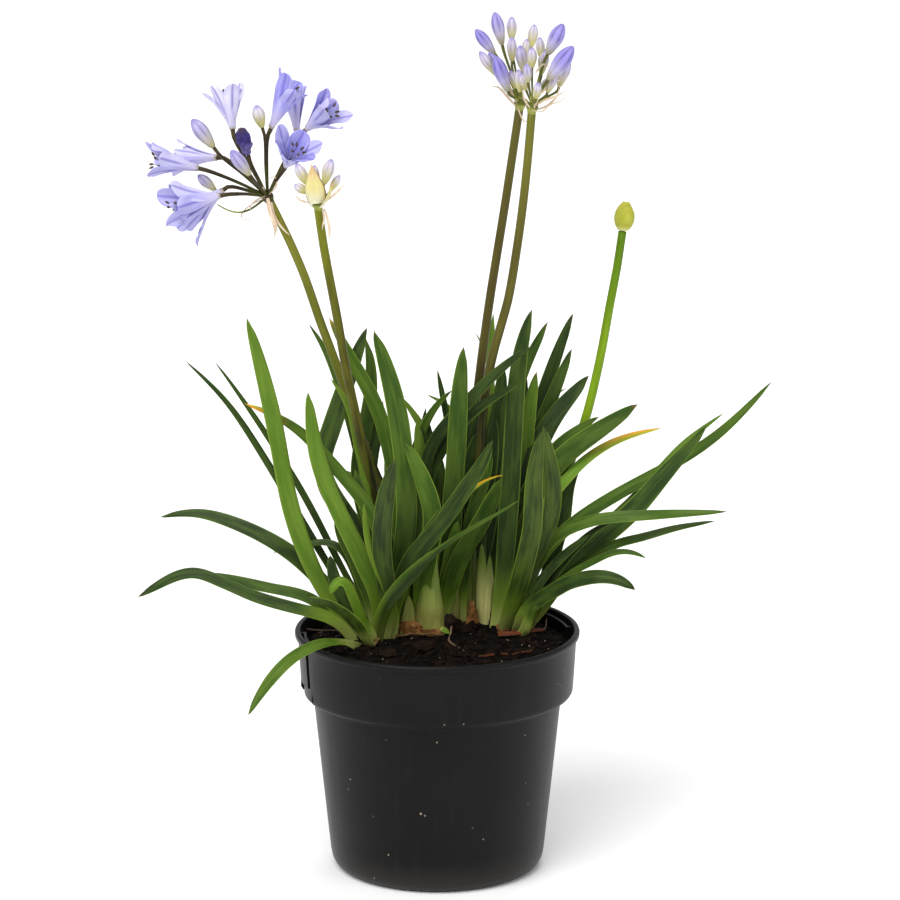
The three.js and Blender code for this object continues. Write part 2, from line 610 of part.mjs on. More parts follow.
function bract(name, { turn, width, height, lean }) {
  const { at, way } = tops[name];
  const out = facing(turn, 0);
  const side = vec(0, 0, 1).cross(out);
  const shape = [[0, 0.55], [0.17, 0.9], [0.4, 1], [0.68, 0.66], [0.87, 0.28], [1, 0]];
  const rings = shape.map(([s, wide]) => {
    const half = (width * wide) / 2;
    const belly = Math.sin(Math.PI * s) * width * 0.12;
    const away = HUB_RADIUS + GAP + BRACT_THICK / 2 + belly + lean * s;
    const rise = mix(BRACT_FOOT, height, s);
    const centre = at.clone().addScaledVector(way, rise).addScaledVector(out, away);
    if (wide === 0) return [centre];
    return [[half, -half * 0.3], [0, -BRACT_THICK / 2], [-half, -half * 0.3], [0, BRACT_THICK / 2]]
      .map(([across, over]) => centre.clone().addScaledVector(side, across).addScaledVector(out, over));
  });
  return loft(rings);
}

add('young_buds', budHead('scape_opening_head', YOUNG_BUDS), BUD_VIOLET);
for (const [name, size] of Object.entries(BRACTS)) {
  add(name, bract('scape_opening_head', size), SPATHE_CREAM);
}

// The last scape ends in a bud that is closed in its spathe.
const CLOSED_BUD_RADII = [2.4, 4.6, 5.9, 5.6, 3.9, 2];
const CLOSED_BUD_HEIGHT = 16;

function closedBud(name) {
  const { at, way } = tops[name];
  const start = at.clone().addScaledVector(way, GAP);
  return rod([start, start.clone().addScaledVector(way, CLOSED_BUD_HEIGHT)], CLOSED_BUD_RADII, 9);
}

add('closed_bud', closedBud('scape_closed_bud'), BUD_GREEN);

export default plant;
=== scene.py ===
# %% [markdown]
# # An agapanthus in its nursery pot
# The solid model already holds the true size and place of every part: pot, compost, crowns, leaves, flower
# scapes, flowers and buds. This script gives each of them its fine shape and its finish. One Blender unit is
# one metre, the plant stands on z = 0, and its front looks towards -Y.

# %% Load the solid model
import math
import random

import bmesh
import bpy
from mathutils import Matrix, Vector, noise
from mathutils.bvhtree import BVHTree


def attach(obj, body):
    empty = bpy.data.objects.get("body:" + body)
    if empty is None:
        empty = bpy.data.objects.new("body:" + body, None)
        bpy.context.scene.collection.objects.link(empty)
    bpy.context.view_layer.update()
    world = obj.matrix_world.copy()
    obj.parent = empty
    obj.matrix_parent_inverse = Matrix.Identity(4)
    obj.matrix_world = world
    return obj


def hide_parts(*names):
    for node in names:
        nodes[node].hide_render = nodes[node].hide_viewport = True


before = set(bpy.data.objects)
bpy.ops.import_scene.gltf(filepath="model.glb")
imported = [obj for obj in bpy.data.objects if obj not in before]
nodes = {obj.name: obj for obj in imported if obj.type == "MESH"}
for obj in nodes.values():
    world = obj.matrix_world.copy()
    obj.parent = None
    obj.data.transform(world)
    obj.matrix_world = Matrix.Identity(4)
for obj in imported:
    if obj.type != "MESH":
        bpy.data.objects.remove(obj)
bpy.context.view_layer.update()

MM = 0.001
COMPOST_TOP = 121  # in millimetres, like every measure below that MM turns into metres
FOOT_Z = 121.3  # where the leaves and scapes of the solid model start

# %% [markdown]
# ## Floor, light and camera
# A studio sweep could be a curved sheet, but a large level floor is enough here, because the camera looks down
# and sees nothing else. The light is soft: a wide sun high at the front left, which lights the whole floor
# evenly, a weaker lamp at the right, and a bright sky that fills the shade between the leaves. The camera
# itself sees that sky as pure white, so the backdrop stays plain from a low angle too. It is a long lens from
# over two metres away.

# %% Floor, light and camera
PLANT_MIDDLE = Vector((0, 0, 0.25))
CAMERA_PLACE = (0.0067, -2.182, 0.741)
CAMERA_TILT = 76.7  # degrees from straight down

bpy.ops.object.select_all(action="DESELECT")
bpy.ops.mesh.primitive_plane_add(size=40, location=(0, 0, 0))
floor = bpy.context.object
floor.name = "studio_floor"
paper = bpy.data.materials.new("white_paper")
paper.use_nodes = True
paper_shader = paper.node_tree.nodes["Principled BSDF"]
paper_shader.inputs["Base Color"].default_value = (0.96, 0.96, 0.96, 1)
paper_shader.inputs["Roughness"].default_value = 0.9
floor.data.materials.append(paper)


def lamp(name, place, size, power):
    """A square soft lamp that looks at the middle of the plant."""
    bpy.ops.object.light_add(type="AREA", location=place)
    made = bpy.context.object
    made.name = name
    made.data.size = size
    made.data.energy = power
    made.rotation_euler = (PLANT_MIDDLE - Vector(place)).to_track_quat("-Z", "Y").to_euler()


bpy.ops.object.light_add(type="SUN", rotation=(math.radians(42), 0, math.radians(-28)))
sun = bpy.context.object
sun.name = "key_sun"
sun.data.angle = math.radians(50)
sun.data.energy = 2.6
lamp("fill_lamp", (1.9, -1.6, 1.2), 1.4, 14)
lamp("back_lamp", (0.4, 1.6, 1.9), 1.2, 14)

world = bpy.data.worlds.new("studio_sky")
world.use_nodes = True
sky, link = world.node_tree.nodes, world.node_tree.links.new
sky["Background"].inputs["Color"].default_value = (1, 1, 1, 1)
strength = sky.new("ShaderNodeMapRange")
strength.inputs["To Min"].default_value = 0.55
link(sky.new("ShaderNodeLightPath").outputs["Is Camera Ray"], strength.inputs["Value"])
link(strength.outputs[0], sky["Background"].inputs["Strength"])
scene = bpy.context.scene
scene.world = world
scene.view_settings.view_transform = "Standard"

bpy.ops.object.camera_add(location=CAMERA_PLACE, rotation=(math.radians(CAMERA_TILT), 0, 0))
scene.camera = bpy.context.object
scene.camera.data.lens = 172
scene.camera.data.sensor_width = 36
print("camera stands", round(scene.camera.location.length, 2), "m away")

# %% [markdown]
# ## Tools for finishes
# Every finish is a small network of nodes round one Principled shader. Nodes holds the helpers that add one node
# and wire it in one line. Finish is a material whose colour is laid on like glaze over glaze: each layer has a
# colour and a mask that says where it shows. Colours are written as a painter's 0 to 255 values, because those
# are easy to compare with the real plant.

# %% Tools for finishes


def rgb(red, green, blue):
    """A painter's colour as the linear light that shaders work with."""
    levels = [level / 255 for level in (red, green, blue)]
    return [v / 12.92 if v <= 0.04045 else ((v + 0.055) / 1.055) ** 2.4 for v in levels] + [1.0]


class Nodes:
    """A node tree, and helpers that each add a node to it and return an output."""

    def __init__(self, tree):
        self.tree = tree

    def put(self, kind, inputs, output=0, **settings):
        """Any node. An input is a plain value or another node's output."""
        made = self.tree.nodes.new("ShaderNode" + kind)
        for key, value in settings.items():
            setattr(made, key, value)
        for key, value in inputs.items():
            if isinstance(value, bpy.types.NodeSocket):
                self.tree.links.new(value, made.inputs[key])
            else:
                made.inputs[key].default_value = value
        return made.outputs[output]

    def mask(self, value, low, high, most=1.0):
        """0 below low and most above high, with a soft step between them. It also runs backwards."""
        levels = {"Value": value, "From Min": low, "From Max": high, "To Max": most}
        return self.put("MapRange", levels, interpolation_type="SMOOTHSTEP")

    def spread(self, value, low, high):
        """A value from 0 to 1 as one from low to high."""
        return self.put("MapRange", {"Value": value, "To Min": low, "To Max": high})

    def times(self, first, second):
        return self.put("Math", {0: first, 1: second}, operation="MULTIPLY")

    def own(self, name):
        """A value that a piece carries on its own points."""
        return self.put("Attribute", {}, "Fac", attribute_name=name)

    def off_middle(self):
        """How far a point lies from the middle line of its part, from 0 to 1."""
        return self.put("Math", {0: self.own("across")}, operation="ABSOLUTE")

    def place(self):
        return self.put("TexCoord", {}, "Object")

    def height(self):
        """How high a point lies, in metres."""
        return self.put("SeparateXYZ", {0: self.place()}, "Z")

    def effect(self, group, *amounts):
        """A shared node group with its inputs set. It returns both its outputs."""
        box = self.tree.nodes.new("ShaderNodeGroup")
        box.node_tree = group.tree
        for socket, amount in zip(box.inputs, amounts):
            socket.default_value = amount
        return box.outputs[0], box.outputs[1]


class Finish(Nodes):
    """A material whose colour is laid on layer by layer."""

    def __init__(self, name, roughness, shine=0.3):
        """shine is how much it mirrors, 0.5 for glossy plastic."""
        self.material = bpy.data.materials.new(name)
        self.material.use_nodes = True
        super().__init__(self.material.node_tree)
        self.shader = self.tree.nodes["Principled BSDF"]
        self.shader.inputs["Roughness"].default_value = roughness
        self.shader.inputs["Specular IOR Level"].default_value = shine

    def blend(self, amount, first, second, how="MIX"):
        """The first colour turned towards the second by amount. Both are painter's colours or outputs."""
        first, second = [c if isinstance(c, bpy.types.NodeSocket) else rgb(*c) for c in (first, second)]
        return self.put("Mix", {0: amount, 6: first, 7: second}, 2, data_type="RGBA", blend_type=how)

    def base(self, amount, first, second):
        """The lowest layer: two colours that a mask divides."""
        self.colour = self.blend(amount, first, second)

    def lay(self, amount, colour, how="MIX"):
        """One more colour over the layers so far."""
        self.colour = self.blend(amount, self.colour, colour, how)

    def done(self, relief, depth, roughness=None):
        """The finished material, with a relief of some depth in metres and perhaps a changing roughness."""
        bump = self.put("Bump", {"Height": relief, "Distance": depth, "Strength": 0.8})
        for key, value in {"Base Color": self.colour, "Normal": bump, "Roughness": roughness}.items():
            if value is not None:
                self.tree.links.new(value, self.shader.inputs[key])
        return self.material


# %% [markdown]
# ## Shared effects
# Two effects return in nearly every finish, so each is a node group that is built once. "Grain" is a pair of
# soft noises, fine and coarse, laid over the object's own space. "Tissue" is what makes a plant look grown:
# streaks that run along the part. It reads `along`, from 0 at the foot to 1 at the tip, and `across`, from -1
# to 1, which every grown piece here carries on its points.

# %% Shared effects


def new_group(name, inputs, outputs):
    """An empty node group. inputs maps names to starting values, and every output is a value."""
    group = bpy.data.node_groups.new(name, "ShaderNodeTree")
    for key, value in inputs.items():
        group.interface.new_socket(key, in_out="INPUT", socket_type="NodeSocketFloat").default_value = value
    for key in outputs:
        group.interface.new_socket(key, in_out="OUTPUT", socket_type="NodeSocketFloat")
    return Nodes(group), group.nodes.new("NodeGroupInput").outputs, group.nodes.new("NodeGroupOutput").inputs


grain, given, made = new_group("grain", {"Fine": 900.0, "Coarse": 60.0}, ["Fine", "Coarse"])
spot = grain.place()
for name, detail in (("Fine", 3.0), ("Coarse", 2.0)):
    cloud = grain.put("TexNoise", {"Vector": spot, "Scale": given[name], "Detail": detail})
    grain.tree.links.new(cloud, made[name])

tissue, given, made = new_group("tissue", {"Streaks": 9.0, "Length": 3.0}, ["Streak", "Mottle"])
lengthwise = tissue.times(tissue.own("along"), given["Length"])
sideways = tissue.times(tissue.own("across"), given["Streaks"])
shift = tissue.times(tissue.own("tone"), 37.0)
for name, across, clouds, low, high in (
        ("Streak", sideways, {"Scale": 1.0, "Detail": 4.0, "Roughness": 0.6}, 0.36, 0.64),
        ("Mottle", tissue.own("across"), {"Scale": 1.3, "Detail": 2.0}, 0.35, 0.65)):
    spot = tissue.put("CombineXYZ", {"X": across, "Y": lengthwise, "Z": shift})
    cloud = tissue.put("TexNoise", {"Vector": spot, **clouds})
    tissue.tree.links.new(tissue.mask(cloud, low, high), made[name])
print("shared effects:", [group.name for group in bpy.data.node_groups])


# %% [markdown]
# ## Tools for making pieces
# An operator acts on whatever is selected, so each step first deselects everything and then picks its own
# piece. A finished piece gets its name, its material and smooth shading, and the solid part that it stands for
# is hidden. All pieces ride on "root", because nothing on a plant in its pot moves by a joint.

# %% Tools for making pieces


def pick(piece):
    """Selects one piece alone, in object mode."""
    if bpy.context.object and bpy.context.object.mode != "OBJECT":
        bpy.ops.object.mode_set(mode="OBJECT")
    bpy.ops.object.select_all(action="DESELECT")
    piece.select_set(True)
    bpy.context.view_layer.objects.active = piece
    return piece


def edit(piece):
    """Opens one piece in edit mode, with all of it selected."""
    pick(piece)
    bpy.ops.object.mode_set(mode="EDIT")
    bpy.ops.mesh.select_all(action="SELECT")


def select_points(piece, test):
    """In edit mode, selects the points whose place passes a test."""
    bpy.ops.mesh.select_mode(type="VERT")
    bpy.ops.mesh.select_all(action="DESELECT")
    shape = bmesh.from_edit_mesh(piece.data)
    for point in shape.verts:
        point.select = test(point.co)
    shape.select_flush(True)
    bmesh.update_edit_mesh(piece.data)


def modify(piece, kind, **settings):
    """Adds a modifier and applies it at once."""
    pick(piece)
    made = piece.modifiers.new(kind.lower(), kind)
    for key, value in settings.items():
        setattr(made, key, value)
    bpy.ops.object.modifier_apply(modifier=made.name)
    return piece


def smoothed(piece, levels=1):
    """Subdivides a piece and applies that."""
    return modify(piece, "SUBSURF", levels=levels, render_levels=levels)


def joined(pieces, name):
    """Several pieces as one."""
    pick(pieces[0])
    for piece in pieces[1:]:
        piece.select_set(True)
    if len(pieces) > 1:
        bpy.ops.object.join()
    pieces[0].name = pieces[0].data.name = name
    return pieces[0]


def finished(piece, name, slot, *stands_for, look=None, sharp=None):
    """Names a piece, gives it its finish, hangs it on the root and hides the solid parts it stands for."""
    pick(piece)
    bpy.ops.object.transform_apply(location=True, rotation=True, scale=True)
    if sharp is None:
        bpy.ops.object.shade_smooth()
    else:
        bpy.ops.object.shade_smooth_by_angle(angle=math.radians(sharp))
    piece.name = piece.data.name = name
    if look:
        piece.data.materials.clear()
        piece.data.materials.append(look)
    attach(piece, "root")
    if stands_for:
        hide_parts(*stands_for)
    return piece


def mark(piece, **values):
    """Gives every point values of its own. Each is a number, or a function of the point's place."""
    for key, value in values.items():
        numbers = [value(point.co) if callable(value) else value for point in piece.data.vertices]
        piece.data.attributes.new(key, "FLOAT", "POINT").data.foreach_set("value", numbers)


def from_skin(name, points, faces, **values):
    """A mesh from points and faces. values are lists with one number for each point."""
    mesh = bpy.data.meshes.new(name)
    mesh.from_pydata(points, [], faces)
    for key, numbers in values.items():
        mesh.attributes.new(key, "FLOAT", "POINT").data.foreach_set("value", numbers)
    mesh.update()
    made = bpy.data.objects.new(name, mesh)
    scene.collection.objects.link(made)
    return made


# %% [markdown]
# ## Turned shapes
# The pot, the crowns and the buds are all shapes of revolution. Spin could sweep an outline round the axis.
# Here a ring is extruded and resized step by step instead, as on a potter's wheel, because each ring then stays
# a clean loop and the ends close by themselves.

# %% Turned shapes


def turned(name, outline, sides):
    """A closed shape from an outline of (radius, height) in millimetres. A last radius of 0 makes a point."""
    radius, height = outline[0]
    bpy.ops.object.select_all(action="DESELECT")
    bpy.ops.mesh.primitive_circle_add(
        vertices=sides, radius=radius * MM, fill_type="NGON", location=(0, 0, height * MM))
    piece = bpy.context.object
    bpy.ops.object.transform_apply(location=True)
    edit(piece)
    for next_radius, next_height in outline[1:]:
        rise = (0, 0, (next_height - height) * MM)
        bpy.ops.mesh.extrude_region_move(TRANSFORM_OT_translate={"value": rise})
        if next_radius == 0:
            bpy.ops.mesh.merge(type="CENTER")
            break
        grow = next_radius / radius
        bpy.ops.transform.resize(value=(grow, grow, 1), center_override=(0, 0, next_height * MM))
        radius, height = next_radius, next_height
    bpy.ops.mesh.select_all(action="SELECT")
    bpy.ops.mesh.normals_make_consistent(inside=False)
    pick(piece).name = name
    return piece


def open_edges(piece):
    """How many edges don't have exactly two faces."""
    shape = bmesh.new()
    shape.from_mesh(piece.data)
    count = sum(len(edge.link_faces) != 2 for edge in shape.edges)
    shape.free()
    return count


# %% [markdown]
# ## The pot
# A nursery pot is injection moulded: a tapered body, a deep band that stacks on the pot below it, and a rolled
# lip. Its wall is closed all round, so it is one outline, up the outside and down the inside. The two label
# pockets are cut and added with Boolean modifiers: each is a thin arc of wall inside the band, and the band is
# cut away under its plate and beside it, so the plate hangs free from the lip. Round drain holes go through
# the rim of the floor.

# %% Turn the pot
POT_OUTLINE = [
    (48.5, 0), (50, 0.3), (52.8, 1.3), (54.8, 3.2), (56, 5.8), (56.7, 9.5), (61, 50), (65.3, 91.5), (65.7, 93.4),
    (66.8, 94.4), (69.6, 94.9), (70.9, 95.4), (71.5, 96.4), (71.7, 98), (72.6, 112), (73.3, 124.4), (73.5, 125.2),
    (74.4, 125.5), (74.9, 126.1), (75, 127), (75, 127.8), (74.7, 128.5), (74, 128.9), (73, 129), (72.2, 128.6),
    (71.9, 127.6), (70.3, 98.6), (69.3, 96.9), (64.8, 95.3), (64, 94), (55.2, 9), (53.6, 4.6), (50, 2.4),
]
pot = turned("pot", POT_OUTLINE, 144)
print("pot faces:", len(pot.data.polygons), "open edges:", open_edges(pot))

# %% Cut the label pockets and the drain holes
POCKETS = ((9, 33), (179, 205))  # degrees from +X, where each starts and ends
PLATE_INNER, PLATE_OUTER, CHEEK_OUTER = 68.9, 70.2, 72
POCKET_TOP = 126.4
CHEEK, SLOT = 1.5, 3  # degrees that a cheek and a slot take up
DRAINS = 8


def arc_block(inner, outer, low, high, start, end):
    """A curved block between two radii, two heights and two angles: an upright rectangle, spun."""
    bpy.ops.object.select_all(action="DESELECT")
    middle = ((inner + outer) / 2 * MM, 0, (low + high) / 2 * MM)
    bpy.ops.mesh.primitive_plane_add(size=1, location=middle, rotation=(math.pi / 2, 0, 0))
    piece = bpy.context.object
    piece.scale = ((outer - inner) * MM, (high - low) * MM, 1)
    bpy.ops.object.transform_apply(location=True, rotation=True, scale=True)
    edit(piece)
    bpy.ops.mesh.spin(steps=12, angle=-math.radians(end - start), center=(0, 0, 0), axis=(0, 0, 1))
    bpy.ops.mesh.select_all(action="SELECT")
    bpy.ops.mesh.normals_make_consistent(inside=False)
    pick(piece)
    piece.rotation_euler.z = math.radians(start)
    bpy.ops.object.transform_apply(location=False, rotation=True, scale=False)
    return piece


def carve(piece, tool, how="DIFFERENCE"):
    """Takes a tool shape away from a piece, or adds it, and removes the tool."""
    modify(piece, "BOOLEAN", object=tool, operation=how, solver="EXACT")
    bpy.data.objects.remove(tool)


for start, end in POCKETS:
    carve(pot, arc_block(PLATE_INNER, PLATE_OUTER, 96.6, POCKET_TOP, start, end), "UNION")
    for edge in (start, end - CHEEK):
        carve(pot, arc_block(69.2, CHEEK_OUTER, 96.8, POCKET_TOP, edge, edge + CHEEK), "UNION")
    carve(pot, arc_block(PLATE_OUTER, 80, 92, 103, start + CHEEK, end - CHEEK))
    for edge in (start + CHEEK, end - CHEEK - SLOT):
        carve(pot, arc_block(PLATE_OUTER, 80, 100, 123.6, edge, edge + SLOT))
for hole in range(DRAINS):
    turn = math.radians(360 / DRAINS * hole)
    bpy.ops.object.select_all(action="DESELECT")
    bpy.ops.mesh.primitive_cylinder_add(
        vertices=24, radius=4 * MM, depth=10 * MM, location=(43 * MM * math.cos(turn), 43 * MM * math.sin(turn), MM))
    carve(pot, bpy.context.object)
print("pot faces:", len(pot.data.polygons), "open edges:", open_edges(pot))

# %% [markdown]
# ### Black plastic
# The plastic is a soft charcoal, not black. It has the fine grain of the mould, faint upright flow marks, rubbed
# places and specks of dust. Near the foot it is painted lighter, a painted reflection of the pale floor.
# Roughness changes with the same noises, so the long highlights break up a little.

# %% Black plastic
paint = Finish("charcoal_plastic", 0.4, 0.14)
fine, coarse = paint.effect(grain, 2600.0, 28.0)
flow_place = paint.put("Mapping", {"Vector": paint.place(), "Scale": (260.0, 260.0, 7.0)})
flow = paint.put("TexNoise", {"Vector": flow_place, "Scale": 1.0, "Detail": 3.0})
dust = paint.put("TexVoronoi", {"Vector": paint.place(), "Scale": 85.0, "Randomness": 1.0})
paint.base(paint.mask(coarse, 0.3, 0.7), (9, 9, 9), (14, 13, 13))
paint.lay(paint.mask(flow, 0.52, 0.75, 0.3), (26, 25, 24))
paint.lay(paint.mask(dust, 0.055, 0.02, 0.5), (110, 102, 92))
# painted reflection of the pale floor: the lowest 20 mm of the pot is lighter
paint.lay(paint.mask(paint.height(), 0.02, 0.0, 0.25), (80, 76, 72))
plastic_look = paint.done(fine, 0.00004, paint.spread(flow, 0.32, 0.46))
finished(pot, "pot_moulded", "pot_plastic", "pot", look=plastic_look, sharp=40)

# %% [markdown]
# ## Compost
# The plug of compost from the solid model stays where it is, and only gets a finish. On top of it lies a
# crumbly layer. It could be a flat disc with a bump, but its lumps show against the light, so a cylinder is
# remeshed into small faces and pushed up and down by two cloud textures. It rises a little round the clumps of
# leaves and falls towards the wall. Loose crumbs are then sown over it.

# %% Compost finish
paint = Finish("compost", 0.93, 0.06)
fine, coarse = paint.effect(grain, 1500.0, 160.0)
paint.base(paint.mask(coarse, 0.38, 0.64), (9, 7, 6), (20, 15, 12))
paint.lay(paint.mask(fine, 0.58, 0.72, 0.6), (34, 23, 16))
compost_look = paint.done(fine, 0.0006)
nodes["compost"].data.materials.clear()
nodes["compost"].data.materials.append(compost_look)

# %% Crumbly layer
bpy.ops.object.select_all(action="DESELECT")
bpy.ops.mesh.primitive_cylinder_add(vertices=96, radius=0.0703, depth=0.0075, location=(0, 0, 0.1188))
layer = bpy.context.object
bpy.ops.object.transform_apply(location=True)
modify(layer, "REMESH", mode="VOXEL", voxel_size=0.0014)
CLUMPS = [(-37, 2, 15), (-16, 17, 13), (-3, 26, 11), (14, 30, 12), (39, 20, 12), (40, 34, 12), (4, 46, 14)]
for point in layer.data.vertices:
    x, y = point.co.x / MM, point.co.y / MM
    out = min(1, max(0, (math.hypot(x, y) - 60) / 10))
    heap = max(0, max(1 - math.dist((x, y), clump[:2]) / clump[2] for clump in CLUMPS))
    point.co.z += (1.6 * heap - 2.5 * out * out) * MM
for size, strength in ((0.012, 0.0028), (0.004, 0.0022)):
    clouds = bpy.data.textures.new("lumps", "CLOUDS")
    clouds.noise_scale = size
    modify(layer, "DISPLACE", texture=clouds, strength=strength, mid_level=0.5, direction="Z",
           texture_coords="LOCAL")
finished(layer, "compost_layer", "compost", look=compost_look)
print("layer faces:", len(layer.data.polygons))


def ground(x, y):
    """The height of the crumbly layer under a spot, in millimetres."""
    hit, place, _, _ = layer.ray_cast(Vector((x * MM, y * MM, 0.2)), Vector((0, 0, -1)))
    return place.z / MM if hit else COMPOST_TOP


# %% Crumbs


def pebble(radius, flat, seed):
    """A small rough lump of a few dozen faces."""
    bpy.ops.object.select_all(action="DESELECT")
    bpy.ops.mesh.primitive_ico_sphere_add(subdivisions=1, radius=radius * MM, scale=(1, 0.8, flat))
    piece = bpy.context.object
    bpy.ops.object.transform_apply(scale=True)
    edit(piece)
    bpy.ops.transform.vertex_random(offset=radius * MM * 0.35, seed=seed)
    return pick(piece)


def sown(name, template, places):
    """One mesh with a copy of a template at each place."""
    points, faces = [], []
    for place in places:
        start = len(points)
        points += [place @ point.co for point in template.data.vertices]
        faces += [[start + corner for corner in face.vertices] for face in template.data.polygons]
    bpy.data.objects.remove(template)
    return from_skin(name, points, faces)


def anywhere(dice, spread):
    """A random spot on the compost, in millimetres."""
    turn, out = dice.uniform(0, math.tau), spread * math.sqrt(dice.random())
    return out * math.cos(turn), out * math.sin(turn)


def tumbled(dice, x, y, rise, scale):
    """The place of a small thing that lies on the compost at a random turn."""
    at = Matrix.Translation((x * MM, y * MM, (ground(x, y) + rise) * MM))
    tilt = Matrix.Rotation(dice.uniform(-0.5, 0.5), 4, "X")
    return at @ Matrix.Rotation(dice.uniform(0, math.tau), 4, "Z") @ tilt @ Matrix.Scale(scale, 4)


CRUMBS, BATCHES = 330, 3
dice = random.Random(7)
for batch in range(BATCHES):
    places = [tumbled(dice, *anywhere(dice, 69), 0.3, dice.uniform(0.45, 1.5)) for _ in range(CRUMBS)]
    crumbs = sown("crumbs", pebble(1.2, 0.7, batch), places)
    finished(crumbs, f"compost_crumbs_{batch + 1}", "compost", look=compost_look, sharp=25)
print("crumbs:", BATCHES * CRUMBS)

# %% [markdown]
# ## Leaf finish
# An agapanthus leaf is a strap. Its upper side is glossy and deep green, its under side is duller and greyer,
# and both have fine parallel veins. The margin is a thin light line, the foot is pale where no light reached
# it, and a few tips have turned yellow or brown. One recipe makes all the greens: a leaf says with `side`
# which face a point is on, and with `yellow` and `dry` how far it has aged. With `shade` it gets painted
# shade where other blades crowd round it. The darker and brighter greens are partly the leaves' own tones
# and partly painted shade and painted light, matched to how lit each blade is.

# %% Leaf finish


def leaf_finish(name, upper, under, margin):
    """A green with its under side and its margin."""
    paint = Finish(name, 0.4, 0.2)
    streak, mottle = paint.effect(tissue, 22.0, 5.0)
    height, low = paint.height(), paint.mask(paint.own("along"), 0.3, 0.12)
    paint.base(paint.mask(paint.own("side"), -0.06, 0.06), under, upper)
    paint.lay(paint.times(streak, 0.3), (176, 180, 160), "MULTIPLY")
    paint.lay(paint.times(mottle, 0.16), margin)
    paint.lay(paint.mask(paint.off_middle(), 0.07, 0.0, 0.12), margin)
    paint.lay(paint.mask(paint.off_middle(), 0.85, 0.93, 0.85), margin)
    paint.lay(paint.times(paint.mask(height, 0.168, 0.132, 0.7), low), (120, 150, 40))
    paint.lay(paint.times(paint.mask(height, 0.14, 0.122, 0.85), low), (176, 182, 100))
    tone = paint.spread(paint.own("tone"), 0.82, 1.18)
    paint.colour = paint.put("HueSaturation", {"Value": tone, "Color": paint.colour})
    aged = paint.blend(paint.mask(paint.own("across"), -0.5, 0.3), (176, 180, 46), (236, 168, 38))
    paint.lay(paint.own("yellow"), aged)
    paint.lay(paint.own("dry"), (128, 84, 48))
    # Painted shade: `shade` darkens a point that other blades crowd round; the map below makes it weaker near the
    # compost.
    depth = paint.put("MapRange", {"Value": height, "From Min": 0.13, "From Max": 0.18, "To Min": 0.32, "To Max": 0.88})
    paint.lay(paint.times(paint.own("shade"), depth), (52, 58, 34), "MULTIPLY")
    return paint.done(streak, 0.00012, paint.spread(streak, 0.34, 0.48))


# The darkest green stands in for blades in shade and the brightest for blades that light falls on or shines through:
# these copies are painted shade and painted light as well as the leaves' own tones.
leaf_looks = {
    "green": leaf_finish("leaf_green", (49, 78, 10), (46, 64, 20), (140, 168, 58)),
    "deep_and_shaded": leaf_finish("leaf_dark", (32, 54, 9), (38, 54, 20), (120, 150, 52)),
    "mid": leaf_finish("leaf_mid", (66, 98, 14), (60, 82, 24), (150, 178, 64)),
    "bright": leaf_finish("leaf_bright", (90, 126, 26), (82, 110, 36), (160, 186, 72)),
    "lime": leaf_finish("leaf_lime", (92, 122, 26), (92, 116, 38), (154, 174, 68)),
    "orange": leaf_finish("leaf_orange", (226, 150, 40), (196, 150, 62), (240, 184, 70)),
}
leaf_slots = {"green": "leaf_green", "deep_and_shaded": "leaf_dark", "mid": "leaf_green"}  # the others are leaf_bright
print("leaf finishes:", list(leaf_looks))

# %% [markdown]
# ## Leaf blades
# A blade could be a flat strip with thickness, but a real one is a shallow gutter with a keel. Its solid part
# has just that section in four corners: two margins, the middle of the upper side, and the keel. So each blade
# starts as such a cage. The two margins are creased to stay thin, and two levels of subdivision round the rest.
# The cage is read back from the solid part: its rings are found by walking from the foot, edge by edge.

# %% Rings of a solid part


def solid_rings(node):
    """The rings of points of a long solid part, from its foot on the compost to its tip."""
    mesh = node.data
    places, ids, index = [], {}, []
    for point in mesh.vertices:
        key = tuple(round(v * 1e5) for v in point.co)
        if key not in ids:
            ids[key] = len(places)
            places.append(point.co.copy())
        index.append(ids[key])
    near = [set() for _ in places]
    for face in mesh.polygons:
        corners = [index[v] for v in face.vertices]
        for corner in corners:
            near[corner].update(corners)
    ring = {i for i, place in enumerate(places) if abs(place.z - FOOT_Z * MM) < 0.02 * MM}
    seen, rings = set(ring), []
    while ring:
        rings.append([places[i] for i in sorted(ring)])
        ring = set().union(*(near[i] for i in ring)) - seen
        seen |= ring
    return rings


def middle_of(points):
    return sum(points, Vector()) / len(points)


def ordered(ring, along):
    """A ring's four corners as left margin, upper middle, right margin, keel."""
    pairs = [(a, b) for i, a in enumerate(ring) for b in ring[i + 1:]]
    one, other = max(pairs, key=lambda pair: (pair[0] - pair[1]).length)
    between = (one + other) / 2
    top, keel = sorted((p for p in ring if p is not one and p is not other), key=lambda p: (p - between).length)
    side = (top - keel).cross(along)
    if (one - other).dot(side) < 0:
        one, other = other, one
    return [one, top, other, keel]


# %% [markdown]
# ## The other leaves
# A clump has more leaves than a solid model needs. These stand between and behind the others, and many show
# only a tip. Each has a foot on the compost, a path as the plant looks from the front, and a depth that runs
# from the foot through the middle to the tip. A smooth curve goes through those points, and the cage of four
# corners follows it.

# %% Smooth paths


